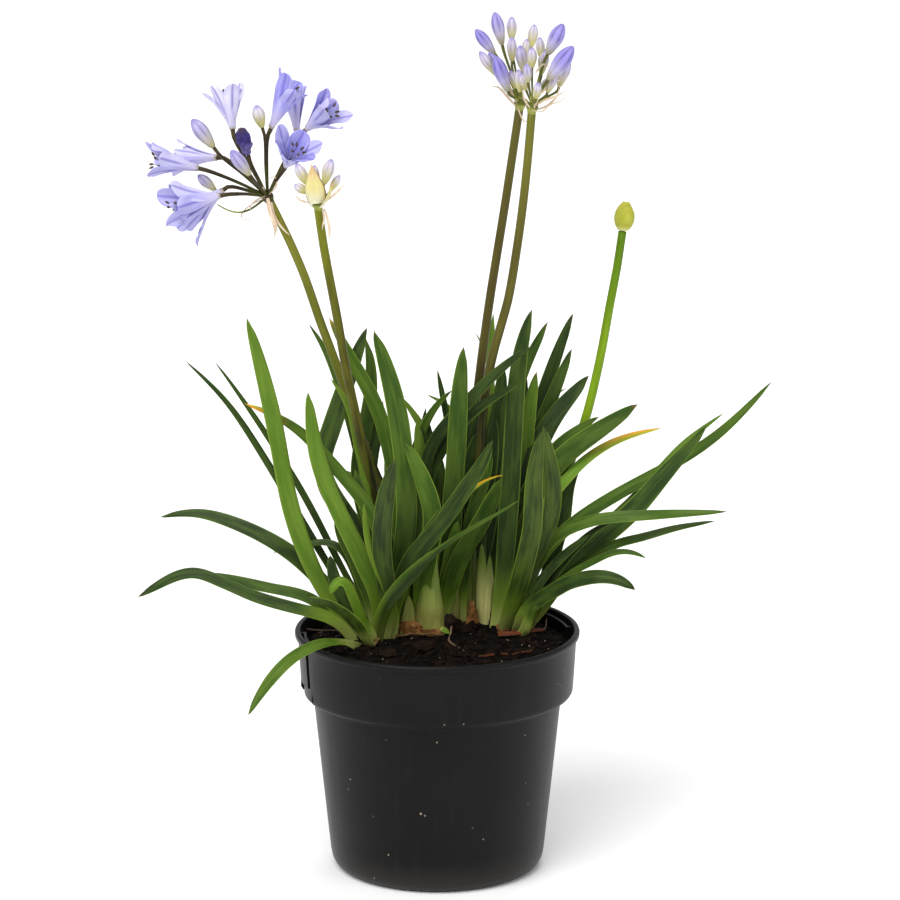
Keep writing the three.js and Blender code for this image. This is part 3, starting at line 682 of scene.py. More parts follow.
def smooth_path(spots, count):
    """count + 1 evenly spaced points on a smooth curve through the spots."""
    ends = [2 * spots[0] - spots[1], *spots, 2 * spots[-1] - spots[-2]]
    fine = []
    for i in range(1, len(ends) - 2):
        knots = [0.0]
        for a, b in zip(ends[i - 1:i + 2], ends[i:i + 3]):
            knots.append(knots[-1] + max(1e-6, (b - a).length) ** 0.5)
        for step in range(24):
            t = knots[1] + (knots[2] - knots[1]) * step / 24
            row = list(zip(knots, ends[i - 1:i + 3]))
            while len(row) > 1:
                width = len(ends[i - 1:i + 3]) - len(row) + 1
                row = [
                    (knots[j], (a[1] * (knots[j + width] - t) + b[1] * (t - knots[j])) / (knots[j + width] - knots[j]))
                    for j, (a, b) in enumerate(zip(row, row[1:]))
                ]
            fine.append(row[0][1])
    fine.append(spots[-1])
    runs = [0.0]
    for a, b in zip(fine, fine[1:]):
        runs.append(runs[-1] + (b - a).length)
    path, j = [], 0
    for i in range(count + 1):
        wanted = runs[-1] * i / count
        while j < len(runs) - 2 and runs[j + 1] < wanted:
            j += 1
        part = (wanted - runs[j]) / max(1e-9, runs[j + 1] - runs[j])
        path.append(fine[j].lerp(fine[j + 1], min(1, part)))
    return path


def facing(turn, rise):
    """A direction: a turn in degrees from the plant's front, and a rise above the level."""
    turn, rise = math.radians(turn), math.radians(rise)
    return Vector((math.sin(turn) * math.cos(rise), -math.cos(turn) * math.cos(rise), math.sin(rise)))


def strap_rings(path, width_at, looks_at, channel, thickness):
    """Cage rings along a path: all but the last point get one. The three measures are in millimetres or
    parts of the half width."""
    rings = []
    for i, centre in enumerate(path[:-1]):
        s = i / (len(path) - 1)
        along = (path[i + 1] - path[max(0, i - 1)]).normalized()
        looks = looks_at(s)
        up = (looks - along * looks.dot(along)).normalized()
        side = up.cross(along)
        half = width_at(s) / 2 * MM
        lift = half * channel(s)
        thick = thickness(s) / 2 * MM
        offsets = ((half, lift), (0, thick), (-half, lift), (0, -thick))
        rings.append([centre + side * a + up * b for a, b in offsets])
    return rings


# %% More leaves
# A leaf's look is a green that is partly its own tone and partly painted light and shade: darker for blades in shade,
# brighter for blades in light.
MORE_LEAVES = {
    # look, foot, depth at the middle and the tip, width, turn and rise of its face, path seen from the front
    "left_back_tip": ("green", (-24, 40), (58, 72), 6, (0, 10), [(-46, 222), (-60, 264), (-69, 278)]),
    "left_yellow_thread": ("lime", (-20, 16), (20, 17), 5, (10, 25),
        [(-37, 193), (-39, 211), (-43, 228), (-46, 245), (-52, 254), (-56, 260)]),
    "centre_arching_left": ("lime", (-4, 46), (56, 66), 6, (10, 30),
        [(-4, 200), (-6, 220), (-9, 224), (-13, 230), (-19, 239)]),
    "centre_purple_tip": ("deep_and_shaded", (-8, 40), (50, 58), 5, (0, 10), [(-6, 207), (-8, 223), (-6, 235)]),
    "centre_pale_strap": ("lime", (-10, 28), (30, 36), 9, (15, 10), [(-6, 180), (-9, 213), (-10, 224), (-11, 232)]),
    "centre_thin_dark": ("deep_and_shaded", (2, 44), (54, 62), 5, (0, 10), [(10, 201), (5, 230), (2, 244), (0, 255)]),
    "centre_small_arch": ("lime", (6, 46), (58, 72), 4.5, (0, 40),
        [(17, 210), (13, 225), (7, 232), (0, 237), (-6, 239)]),
    "front_curled_tip": ("bright", (-30, -6), (-20, -26), 8, (20, 50),
        [(-39, 137), (-44, 151), (-48, 161), (-51, 162), (-56, 154)]),
    "front_pale_thread": ("lime", (-20, 4), (-8, -12), 5, (30, 10),
        [(-24, 145), (-30, 160), (-35, 174), (-37, 185), (-38, 200)]),
    "left_back_dark": ("deep_and_shaded", (-22, 38), (52, 60), 9, (-10, 10), [(-35, 175), (-36, 206), (-32, 222), (-29, 238)]),
    "between_scapes": ("bright", (12, 50), (62, 70), 6, (0, 10), [(25, 183), (27, 237), (29, 271), (30, 284)]),
    "back_needle": ("bright", (14, 52), (70, 84), 3, (0, 10), [(30, 245), (27, 259), (23, 266), (20, 271)]),
    "right_back_tip": ("green", (26, 46), (56, 62), 8, (0, 20),
        [(33, 201), (41, 241), (49, 262), (55, 273), (59, 281)]),
    "under_crossing": ("deep_and_shaded", (-6, 42), (34, 26), 7, (10, 45),
        [(-9, 164), (-9, 184), (-3, 207), (6, 224), (17, 237), (28, 246), (38, 252), (45, 257)]),
    "dark_behind_scapes": ("deep_and_shaded", (14, 40), (46, 50), 11, (0, 5),
        [(25, 165), (29, 198), (31, 225), (34, 249), (35, 261)]),
    "right_brown_point": ("bright", (28, 44), (50, 56), 10, (-10, 10), [(44, 175), (47, 218), (50, 240), (53, 255)]),
    "right_slim_upright": ("deep_and_shaded", (31, 46), (58, 68), 9, (-15, 15),
        [(49, 184), (55, 224), (59, 232), (64, 246), (68, 255), (72, 265)]),
    "right_pale_needle": ("green", (34, 50), (66, 80), 3, (0, 20), [(55, 224), (62, 237), (66, 239), (70, 241)]),
    "right_behind_tip": ("green", (40, 36), (46, 44), 9, (0, 45), [(44, 181), (62, 214), (74, 225), (86, 233)]),
    "right_deep_strap": ("deep_and_shaded", (42, 30), (36, 44), 9, (-10, 15),
        [(57, 141), (63, 165), (67, 177), (70, 197), (76, 207)]),
    "orange_strip": ("orange", (-6, 36), (34, 20), 3.4, (0, 40),
        [(1, 168), (13, 191), (20, 199), (27, 204), (35, 207)]),
    "right_edge_on": ("bright", (50, 20), (28, 40), 6, (0, 70),
        [(86, 175), (105, 193), (120, 209), (132, 222), (142, 229), (152, 236)]),
    "right_low_arch": ("green", (44, 4), (-4, -16), 6, (0, 60),
        [(54, 144), (64, 154), (75, 163), (82, 167), (92, 173), (99, 174), (105, 173), (109, 171)]),
    "right_tip_a": ("deep_and_shaded", (48, 10), (6, 4), 6, (0, 50), [(57, 148), (70, 168), (83, 181), (90, 185)]),
    "right_tip_b": ("deep_and_shaded", (46, 6), (4, 2), 6, (0, 50), [(49, 143), (58, 158), (70, 171), (80, 179)]),
    "right_tip_c": ("green", (47, 2), (-2, -8), 5, (0, 60), [(51, 141), (58, 145), (67, 151), (76, 156)]),
    "left_front_stub": ("deep_and_shaded", (-36, 4), (-4, -2), 8, (10, 30), [(-45, 137), (-52, 151), (-55, 161), (-56, 169)]),
    "left_filler_a": ("green", (-32, 14), (22, 26), 9, (10, 15), [(-35, 139), (-45, 163), (-52, 181), (-48, 192)]),
    "left_filler_b": ("green", (-26, 8), (4, 8), 9, (15, 12), [(-26, 143), (-31, 173), (-39, 197), (-43, 213)]),
    "mid_filler_a": ("deep_and_shaded", (-16, 40), (50, 58), 10, (0, 8), [(-17, 154), (-23, 186), (-24, 212), (-21, 239)]),
    "mid_filler_b": ("green", (0, 40), (44, 50), 9, (10, 8), [(-1, 155), (-1, 182), (1, 203), (-3, 219)]),
    "mid_filler_c": ("deep_and_shaded", (20, 36), (40, 46), 11, (0, 8), [(21, 156), (19, 183), (17, 204), (22, 225)]),
    "mid_filler_d": ("green", (12, 30), (30, 30), 8, (0, 20), [(14, 152), (16, 174), (23, 196), (29, 217)]),
    "back_a": ("green", (-10, 54), (74, 90), 10, (180, 20), [(-10, 168), (-15, 193), (-18, 209)]),
    "back_b": ("green", (10, 58), (76, 90), 10, (190, 20), [(8, 168), (9, 199), (8, 213)]),
    "back_c": ("deep_and_shaded", (28, 54), (72, 90), 9, (160, 30), [(28, 169), (40, 194), (51, 206)]),
    "back_d": ("green", (-24, 50), (70, 92), 9, (200, 30), [(-23, 159), (-36, 178), (-50, 192)]),
    "back_e": ("bright", (40, 46), (64, 90), 9, (150, 40), [(48, 160), (58, 178), (66, 192)]),
    "back_f": ("deep_and_shaded", (-36, 38), (58, 84), 9, (210, 40), [(-34, 152), (-44, 166), (-53, 178)]),
    "back_g": ("bright", (2, 56), (78, 89), 9, (185, 40), [(1, 144), (-3, 153), (-10, 157)]),
    "shade_a": ("deep_and_shaded", (4, 42), (44, 50), 12, (0, 8), [(6, 160), (12, 195), (18, 225), (21, 246)]),
    "shade_b": ("deep_and_shaded", (14, 34), (38, 40), 12, (-10, 8), [(14, 150), (20, 178), (27, 206), (30, 236)]),
    "shade_c": ("deep_and_shaded", (-12, 46), (54, 58), 11, (0, 8), [(-12, 155), (-10, 186), (-6, 210), (-4, 226)]),
    "shade_d": ("deep_and_shaded", (22, 50), (60, 64), 11, (0, 8), [(26, 165), (36, 205), (44, 235), (48, 250)]),
    "bright_strip": ("mid", (-14, 19), (16, 13), 8, (10, 8), [(-13, 150), (-10, 172), (-10, 196), (-14, 214)]),
    "under_strap": ("green", (0, 27), (20, 10), 10.5, (0, 12),
        [(8, 150), (12, 162), (18, 173), (24, 184), (29, 196), (33, 207)]),
    "bulb_side_leaf": ("mid", (3, 28), (24, 20), 8, (0, 8), [(4, 143), (6, 157), (8, 168), (11, 182)]),
    "dark_foot_strap": ("deep_and_shaded", (12, 36), (36, 34), 9, (0, 8), [(13, 134), (16, 148), (21, 162), (24, 179)]),
    "front_dark_blade": ("deep_and_shaded", (-23, 10), (1, -2), 9, (-10, 15),
        [(-23, 136), (-19, 152), (-14, 165), (-7, 176), (-1, 186), (4, 196)]),
}


def ramp(value, low, high):
    """0 to 1 between low and high, with soft ends."""
    part = min(1, max(0, (value - low) / (high - low)))
    return part * part * (3 - 2 * part)


def blend_in(start, end, amount):
    return start + (end - start) * min(1, amount)


def leaf_path(foot, depth, front):
    """The path of a leaf, in metres."""
    spots = [(foot[0], FOOT_Z), *front]
    runs = [0.0]
    for a, b in zip(spots, spots[1:]):
        runs.append(runs[-1] + math.hypot(b[0] - a[0], b[1] - a[1]))
    path = []
    for (x, z), run in zip(spots, runs):
        s = run / runs[-1]
        y = foot[1] * (1 - s) * (1 - 2 * s) + depth[0] * 4 * s * (1 - s) + depth[1] * s * (2 * s - 1)
        path.append(Vector((x, y, z)) * MM)
    return path


CHANNEL_FOOT, CHANNEL_TIP = 0.34, 0.12  # parts of the half width
THICK_FOOT, THICK_TIP = 2.4, 0.9
LEAF_RINGS = 12
cages, tips, looks_of = {}, {}, {}
for short, (look, foot, depth, width, (turn, rise), front) in MORE_LEAVES.items():
    path = smooth_path(leaf_path(foot, depth, front), LEAF_RINGS)
    at_foot, above = facing(turn if abs(turn) > 90 else 0, 0), facing(turn, rise)
    tips[short], looks_of[short] = path[-1], look
    cages[short] = strap_rings(
        path,
        lambda s: width * blend_in(0.68, 1, s / 0.35) * (1 if s < 0.42 else 1 - ((s - 0.42) / 0.58) ** 2),
        lambda s: at_foot.lerp(above, min(1, 4 * s)),
        lambda s: blend_in(CHANNEL_FOOT, CHANNEL_TIP, 1.5 * s),
        lambda s: blend_in(THICK_FOOT, THICK_TIP, s ** 0.5))
print("further leaves:", len(cages))

# %% Cages of the solid leaves
# The green of each solid leaf follows how lit it is as well as its own tone: partly painted light and shade.
LOOKS = {  # the others are green
    "bright": "left_tall left_bright right_yellow_end",
    "mid": "left_yellow_tip right_bright mid_left_pale rim_droop front_folded",
    "deep_and_shaded": "front_grey right_low dark_left right_dark right_wide centre_blue left_arch right_broad "
            "back_left_a crossing_centre right_tall_thin low_left_long",
}
for node_name in sorted(name for name in nodes if name.startswith("leaf_")):
    short = node_name.removeprefix("leaf_")
    rings = solid_rings(nodes[node_name])
    tips[short] = rings.pop()[0]
    centres = [middle_of(ring) for ring in rings] + [tips[short]]
    cages[short] = [ordered(ring, centres[i + 1] - centres[i]) for i, ring in enumerate(rings)]
    looks_of[short] = next((look for look, names in LOOKS.items() if short in names.split()), "green")
print("leaves in all:", len(cages))

# %% [markdown]
# ## Painted shade inside the clump
# Blades in the middle of a clump get little light, so their colour is darkened there as painted shade. How
# deep a point lies among the leaves is measured once: rays go out from it to all sides but down, and those
# that meet another blade soon are counted. The result is kept on the blade as its own value `shade`, which
# the finish reads as painted shade.

# %% Shade inside the clump
corners, quads = [], []
for rings in cages.values():
    for r, ring in enumerate(rings):
        if r:
            last = len(corners)
            quads += [(last - 4 + i, last - 4 + (i + 1) % 4, last + (i + 1) % 4, last + i) for i in range(4)]
        corners += ring
clump = BVHTree.FromPolygons(corners, quads)
RAYS = [Vector((math.cos(i * 2.4) * (1 - z * z) ** 0.5, math.sin(i * 2.4) * (1 - z * z) ** 0.5, z))
        for i, z in enumerate([0.96 - 0.05 * k for k in range(24)])]
TO_LIGHT = Vector((-0.4, -0.65, 0.65))
REACH = 0.09  # a blade further off than this, in metres, takes no light away


def crowding(place):
    """0 for a point in the open, 1 for one far in among the leaves, where it gets the most painted shade."""
    blocked = total = 0.0
    for ray in RAYS:
        weight = 1 + max(0, ray.dot(TO_LIGHT))
        total += weight
        if clump.ray_cast(place + ray * 1.5 * MM, ray, REACH)[0] is not None:
            blocked += weight
    return ramp(blocked / total, 0.42, 0.92)


# %% Blade from a cage
ACROSS = (1.0, 0.0, -1.0, 0.0)  # of a ring's four corners
SIDE = (0.0, 1.0, 0.0, -1.0)
SLIM_TIPS = {"far_right", "right_second", "right_bright", "left_arch", "left_yellow_tip", "right_yellow_end",
             "back_left_a", "back_left_b", "front_folded", "left_thin_bow", "orange_strip", "right_wide"}
NARROW = {"back_left_a": 0.66, "back_left_b": 0.7, "left_back_tip": 0.8}
THIN_END = {"front_folded": 0.36}
CLUMP_MIDDLES = {(-34, 0): (0.95, 0.3), (-6, 22): (1.35, 0), (39, 24): (0.95, 0.3)}  # how much it widens, pulls in


def fuller(rings, tip, slim, narrow, thin):
    """A cage whose end is as full as a real strap's, with one more ring before its point. At its foot the middle
    clump is broad, and the outer two are drawn together. thin is what is left of the width of a blade whose
    upper half has turned its edge to the front."""
    rings = [[middle_of(ring).lerp(corner, narrow) for corner in ring] for ring in rings]
    widest = max((ring[0] - ring[2]).length for ring in rings)
    foot = middle_of(rings[0])
    middle, (grow, pull) = min(CLUMP_MIDDLES.items(), key=lambda clump: math.dist(clump[0], foot.xy / MM))
    for i, part in enumerate((1, 0.5)):
        centre = (rings[i][0] + rings[i][2]) / 2
        shift = (Vector((*middle, 0)) * MM - foot) * pull * part * part
        shift.z = 0
        for k in (0, 2):
            rings[i][k] = centre + (rings[i][k] - centre) * blend_in(1, grow, part)
        rings[i] = [corner + shift for corner in rings[i]]
    for i, part in zip((8, 9, 10, 11), (0.89, 0.8, 0.66, 0.46) if slim else (0.97, 0.92, 0.82, 0.62)):
        centre, width = middle_of(rings[i]), (rings[i][0] - rings[i][2]).length
        grow = max(1, part * widest / width)
        rings[i] = [centre + (corner - centre) * grow for corner in rings[i]]
    for i, ring in enumerate(rings):
        left = 1 - (1 - thin) * ramp(i / len(rings), 0.34, 0.6)
        rings[i] = [middle_of(ring).lerp(corner, left) for corner in ring]
    centre = middle_of(rings[-1])
    rings.append([centre.lerp(tip, 0.7) + (corner - centre) * 0.6 for corner in rings[-1]])
    return rings


def blade(name, rings, tip, tone, yellow=None, dry=None, shaded=False, folded=0.0):
    """A blade from its cage. yellow and dry give where along the blade the ageing starts and is complete. The
    last two arguments paint shade: one where the blade stands among other blades, and one on the half of a
    blade bent along its middle that looks away from the light, strongest near the foot."""
    count = len(rings)
    points = [corner for ring in rings for corner in ring] + [tip]
    last = 4 * count
    faces = [(0, 3, 2, 1)]
    for r in range(count - 1):
        for i in range(4):
            a, b = 4 * r + i, 4 * r + (i + 1) % 4
            faces.append((a, b, b + 4, a + 4))
    faces += [(last - 4 + i, last - 4 + (i + 1) % 4, last) for i in range(4)]
    along = [r / count for r in range(count) for _ in range(4)] + [1.0]
    aged = {"yellow": [0.0] * len(along), "dry": [0.15 * ramp(s, 0.985, 1.0) for s in along]}
    for key, span in (("yellow", yellow), ("dry", dry)):
        if span:
            aged[key] = [ramp(s, *span) for s in along]
    shade = [crowding(place) if shaded else 0.0 for place in points]
    near = [(max(i - 4, i % 4), i, min(i + 4, last - 4 + i % 4)) for i in range(last)]
    for _ in range(3):
        shade[:last] = [sum(shade[j] for j in three) / 3 for three in near]
    # Painted shade: the half of a bent blade that looks away from the light is darkened, most near the foot.
    shade = [value + folded * (i % 4 > 0) * max(0, 1 - 1.15 * s) for i, (value, s) in enumerate(zip(shade, along))]
    made = from_skin(name, points, faces, along=along, across=[*ACROSS * count, 0.0], side=[*SIDE * count, 0.0],
                     tone=[tone] * len(along), shade=shade, **aged)
    made.data.attributes.new("crease_vert", "FLOAT", "POINT").data[last].value = 1.0
    crease = made.data.attributes.new("crease_edge", "FLOAT", "EDGE")
    for edge in made.data.edges:
        a, b = sorted(edge.vertices)
        if b < 4:
            crease.data[edge.index].value = 1.0
        elif a % 4 in (0, 2) and b - a == 4:
            crease.data[edge.index].value = 0.85
    return smoothed(made, 2)


# %% Blades
# Yellow and dry are real ageing of the tips; the entry for front_folded is painted shade on the half of that blade that
# looks away from the light.
AGEING_AND_PAINTED_SHADE = {
    "left_yellow_tip": {"yellow": (0.76, 0.96)}, "mid_left_pale": {"yellow": (0.9, 1.0)},
    "right_yellow_end": {"yellow": (0.62, 0.86)}, "orange_strip": {"yellow": (0.1, 0.4)},
    "right_brown_tip": {"dry": (0.94, 1.0)}, "right_brown_point": {"dry": (0.93, 1.0)},
    "front_folded": {"folded": 2.0},
}
dice = random.Random(11)
for short, rings in cages.items():
    look = looks_of[short]
    full = fuller(rings, tips[short], short in SLIM_TIPS, NARROW.get(short, 1), THIN_END.get(short, 1))
    piece = blade(short, full, tips[short], dice.random(), shaded=True, **AGEING_AND_PAINTED_SHADE.get(short, {}))
    stands_for = [f"leaf_{short}"] if f"leaf_{short}" in nodes else []
    finished(piece, f"blade_{short}", leaf_slots.get(look, "leaf_bright"), *stands_for, look=leaf_looks[look])
print("blades:", len(cages))

# %% [markdown]
# ## Round stems
# Scapes, flower stalks, roots and filaments are all rods that bend and taper. A curve with a bevel could make
# them, but then they would carry no `along` value for their finish. So a ring of points is set round each
# point of the path.

# %% Round stems


def rod(name, path, radius_at, sides, tone=0.5):
    """A rod along a path. radius_at gives the radius in millimetres from 0 at the start to 1 at the end."""
    points, faces, values = [], [], []
    count = len(path) - 1
    side = None
    for i, centre in enumerate(path):
        along = (path[min(count, i + 1)] - path[max(0, i - 1)]).normalized()
        if side is None:
            side = along.orthogonal()
        side = (side - along * side.dot(along)).normalized()
        other = along.cross(side)
        radius = radius_at(i / count) * MM
        for k in range(sides):
            turn = math.tau * k / sides
            points.append(centre + side * (radius * math.cos(turn)) + other * (radius * math.sin(turn)))
            values.append(i / count)
    for i in range(count):
        for k in range(sides):
            a, b = i * sides + k, i * sides + (k + 1) % sides
            faces.append((a, b, b + sides, a + sides))
    faces.append(tuple(range(sides))[::-1])
    faces.append(tuple(range(count * sides, (count + 1) * sides)))
    around = [math.cos(math.tau * k / sides) for k in range(sides)] * (count + 1)
    return from_skin(name, points, faces, along=values, across=around, tone=[tone] * len(points))


# %% Scape finish


def stem_finish(name, foot, middle, top):
    """A stem's colour, which changes from its foot to its top."""
    paint = Finish(name, 0.42, 0.14)
    streak, mottle = paint.effect(tissue, 5.0, 9.0)
    paint.base(paint.mask(paint.own("along"), 0.38, 0.56), foot, middle)
    paint.lay(paint.mask(paint.own("along"), 0.7, 0.98), top)
    paint.lay(paint.times(streak, 0.35), (170, 160, 140), "MULTIPLY")
    paint.lay(paint.times(mottle, 0.3), top)
    return paint.done(streak, 0.0001)


# The dark foot colours are partly the scapes' own browner base and partly painted shade, where the lower scapes stand
# inside the clump of leaves.
SCAPE_LOOKS = {
    "scape_open_head": stem_finish("scape_olive", (36, 40, 10), (96, 100, 24), (124, 124, 44)),
    "scape_opening_head": stem_finish("scape_dusky", (32, 34, 9), (74, 70, 18), (118, 122, 24)),
    "scape_bud_head_back": stem_finish("scape_brown", (26, 28, 8), (78, 70, 26), (90, 86, 36)),
    "scape_bud_head_front": stem_finish("scape_tan", (26, 28, 8), (84, 78, 30), (108, 108, 38)),
    "scape_closed_bud": stem_finish("scape_lime", (52, 78, 16), (120, 152, 22), (84, 118, 12)),
}
print("scape finishes:", len(SCAPE_LOOKS))

# %% Scapes
tops = {}
for node_name, look in SCAPE_LOOKS.items():
    centres = [middle_of(ring) for ring in solid_rings(nodes[node_name])]
    tops[node_name] = (centres[-1], (centres[-1] - centres[-2]).normalized())
    path = smooth_path(centres, 44)
    piece = rod(node_name, path, lambda s: (6 - 1.6 * s ** 0.5) / 2, 16, dice.random())
    slot = "scape_green" if node_name == "scape_closed_bud" else "scape_brown"
    finished(piece, node_name.replace("scape", "stem"), slot, node_name, look=look)
print("scape tops in mm:", {name: [round(v * 1000) for v in at] for name, (at, _) in tops.items()})

# %% [markdown]
# ## Flower finishes
# A tepal is one of the six petals of an agapanthus flower. It is nearly white where the six grow together as a
# tube, and periwinkle blue above, with a darker stripe down its middle and paler edges. A bud shows the same
# colours from outside: green-white at its foot, violet at its tip, and darker in its six furrows.

# %% Flower finishes
paint = Finish("tepal_blue", 0.5)
streak = paint.effect(tissue, 8.0, 3.0)[0]
along = paint.own("along")
paint.base(paint.own("tone"), (234, 231, 250), (136, 132, 216))
paint.lay(paint.times(streak, 0.4), (204, 200, 240))
stripe = paint.times(paint.mask(paint.off_middle(), 0.26, 0.05, 0.62), paint.mask(along, 0.2, 0.55))
paint.lay(stripe, (98, 90, 188))
paint.lay(paint.mask(paint.off_middle(), 0.72, 1.0, 0.45), (186, 182, 240))
paint.lay(paint.mask(along, 0.5, 0.14, 0.75), (204, 198, 226))
paint.lay(paint.mask(along, 0.1, 0.0), (176, 166, 150))
tepal_look = paint.done(streak, 0.00012)

paint = Finish("bud_violet", 0.48)
streak = paint.effect(tissue, 3.0, 3.0)[0]
along, across, ripe = paint.own("along"), paint.own("across"), paint.own("tone")
pale = paint.blend(paint.mask(along, 0.25, 0.85), (196, 190, 84), (212, 203, 214))
pale = paint.blend(paint.mask(along, 0.8, 1.0), pale, (150, 136, 204))
violet = paint.blend(paint.mask(along, 0.06, 0.36), (150, 146, 84), (178, 170, 204))
violet = paint.blend(paint.mask(along, 0.3, 0.66), violet, (122, 112, 204))
violet = paint.blend(paint.mask(across, 0.2, 0.9, 0.35), violet, (156, 148, 222))
paint.base(ripe, pale, violet)
furrow = paint.times(paint.mask(across, 0.3, -0.85), paint.mask(along, 0.15, 0.6))
paint.lay(paint.times(furrow, paint.spread(ripe, 0.3, 0.75)), (70, 62, 136))
paint.lay(paint.times(streak, 0.3), (220, 214, 236))
bud_look = paint.done(streak, 0.0001)


def plain_tissue(name, main, other, roughness=0.6, depth=0.0002):
    """A finish of two colours that run along a part in streaks."""
    paint = Finish(name, roughness)
    streak, mottle = paint.effect(tissue, 4.0, 5.0)
    paint.base(paint.times(streak, 0.8), main, other)
    paint.lay(paint.times(mottle, 0.3), main)
    return paint.done(streak, depth)


stalk_look = stem_finish("stalk_olive", (74, 78, 32), (54, 44, 26), (72, 62, 38))
green_stalk_look = stem_finish("stalk_green", (166, 172, 84), (92, 102, 38), (96, 94, 44))
dry_look = plain_tissue("dry_bract", (240, 226, 200), (208, 160, 124))
filament_look = plain_tissue("filament", (206, 204, 236), (168, 164, 220))
anther_look = plain_tissue("anther", (70, 56, 48), (124, 104, 72), 0.8)

paint = Finish("withered_violet", 0.6)
streak, mottle = paint.effect(tissue, 3.0, 4.0)
along = paint.own("along")
paint.base(paint.mask(along, 0.2, 0.6), (140, 126, 196), (70, 56, 134))
paint.lay(paint.times(streak, 0.55), (42, 32, 88))
paint.lay(paint.times(paint.mask(along, 0.75, 0.95), mottle), (92, 76, 74))
withered_look = paint.done(streak, 0.0006)
print("finishes so far:", len(bpy.data.materials))

# %% [markdown]
# ## One tepal
# A tepal starts as a flat grid. Each of its rows is picked in edit mode and resized, which draws the outline:
# a narrow claw, widest three quarters of the way up, then a rounded point. It is 1 long and 1 wide here, and
# every flower bends its own six copies into place.

# %% One tepal
TEPAL_OUTLINE = [
    (0, 0.22), (0.1, 0.34), (0.2, 0.52), (0.32, 0.72), (0.46, 0.88), (0.6, 0.97), (0.72, 1), (0.84, 0.97),
    (0.92, 0.86), (0.97, 0.66), (1, 0.34),
]


def at_outline(outline, s):
    """The value of an outline of (place, value) pairs at s."""
    for (s0, v0), (s1, v1) in zip(outline, outline[1:]):
        if s <= s1:
            return v0 + (v1 - v0) * (s - s0) / (s1 - s0)
    return outline[-1][1]


def flat_sheet(name, outline, columns, rows):
    """A sheet 1 long along Y and 1 wide, whose rows follow an outline."""
    bpy.ops.object.select_all(action="DESELECT")
    bpy.ops.mesh.primitive_grid_add(x_subdivisions=columns, y_subdivisions=rows, size=1, location=(0, 0.5, 0))
    sheet = bpy.context.object
    bpy.ops.object.transform_apply(location=True)
    edit(sheet)
    for row in sorted({round(point.co.y, 4) for point in bmesh.from_edit_mesh(sheet.data).verts}):
        select_points(sheet, lambda place: abs(place.y - row) < 1e-3)
        bpy.ops.transform.resize(value=(at_outline(outline, row), 1, 1), center_override=(0, row, 0))
    pick(sheet).name = name
    return sheet


tepal_sheet = flat_sheet("tepal_sheet", TEPAL_OUTLINE, 6, 14)
print("tepal points:", len(tepal_sheet.data.vertices))

# %% [markdown]
# ## Open flowers
# Six tepals stand round the flower's axis in two whorls of three. From its foot each follows the tube and then
# flares, its tip rolls back, and its edges are ruffled. Solidify gives the sheets thickness. Inside stand six
# curved filaments with dark anthers.

# %% Bend a sheet round an axis


def frame_on(axis, roll=0.0):
    """Two directions square to an axis, and the axis itself."""
    axis = axis.normalized()
    helper = Vector((0, 1, 0)) if abs(axis.z) > 0.9 else Vector((0, 0, 1))
    u = helper.cross(axis).normalized()
    v = axis.cross(u)
    c, s = math.cos(roll), math.sin(roll)
    return u * c + v * s, v * c - u * s, axis


def bent_sheet(sheet, name, start, axes, turn, radius_at, height_at, width, flat_at, ruffle, tone, dice,
               outline=TEPAL_OUTLINE):
    """A copy of a sheet, wrapped round an axis. Measures are in millimetres."""
    u, v, axis = axes
    out = u * math.cos(turn) + v * math.sin(turn)
    beside = v * math.cos(turn) - u * math.sin(turn)
    phase = dice.uniform(0, math.tau)
    points, along, across = [], [], []
    for point in sheet.data.vertices:
        s, x = point.co.y, point.co.x * width
        edge = 2 * point.co.x / max(0.05, at_outline(outline, s))
        around = max(0.4, radius_at(s) * flat_at(s))
        wave = ruffle * ramp(s, 0.45, 0.78) * (
            edge * abs(edge) * math.sin(13 * s + phase) + 0.45 * math.sin(8 * s + 2 * phase))
        wave += ruffle * 0.3 * ramp(s, 0.45, 0.8) * math.cos(math.pi * edge)
        radial = radius_at(s) - around + around * math.cos(x / around) + wave
        sideways = around * math.sin(x / around)
        points.append(start + (out * radial + beside * sideways + axis * height_at(s)) * MM)
        along.append(s)
        across.append(edge)
    faces = [tuple(face.vertices) for face in sheet.data.polygons]
    return from_skin(name, points, faces, along=along, across=across, tone=[tone] * len(points))


def thickened(piece, thickness):
    """Turns a sheet into a thin solid and rounds it."""
    modify(piece, "SOLIDIFY", thickness=thickness * MM, offset=0)
    return smoothed(piece)


# %% Open flowers
OPEN_FLOWERS = {
    # base and mouth, measured from the top of the scape, then its spread and how blue it is
    "flower_top_left": ((-19, 6, 36), (-23, 12, 57), 13.5, 0.22),
    "flower_top": ((1, -2, 38), (12, 2, 62), 13, 0.9),
    "flower_top_back": ((14, 12, 34), (12, 24, 58), 10, 0.6),
    "flower_right": ((19, 2, 37), (34, -8, 51), 14, 0.75),
    "flower_facing": ((9, -12, 20), (16, -27, 34), 14.5, 0.8),
    "flower_left_upper": ((-36, -6, 18), (-61, -10, 25), 12, 0.6),
    "flower_left_back": ((-27, 10, 21), (-50, 20, 20), 10, 0.55),
    "flower_left_lower": ((-24, -24, 7), (-52, -31, 3), 16, 0.6),
    "flower_left_hidden": ((-23, -12, 8), (-46, -17, -7), 17, 0.7),
}


def on_head(scape, offset):
    """A point of a head, from its offset in millimetres to the top of its scape."""
    return tops[scape][0] + Vector(offset) * MM


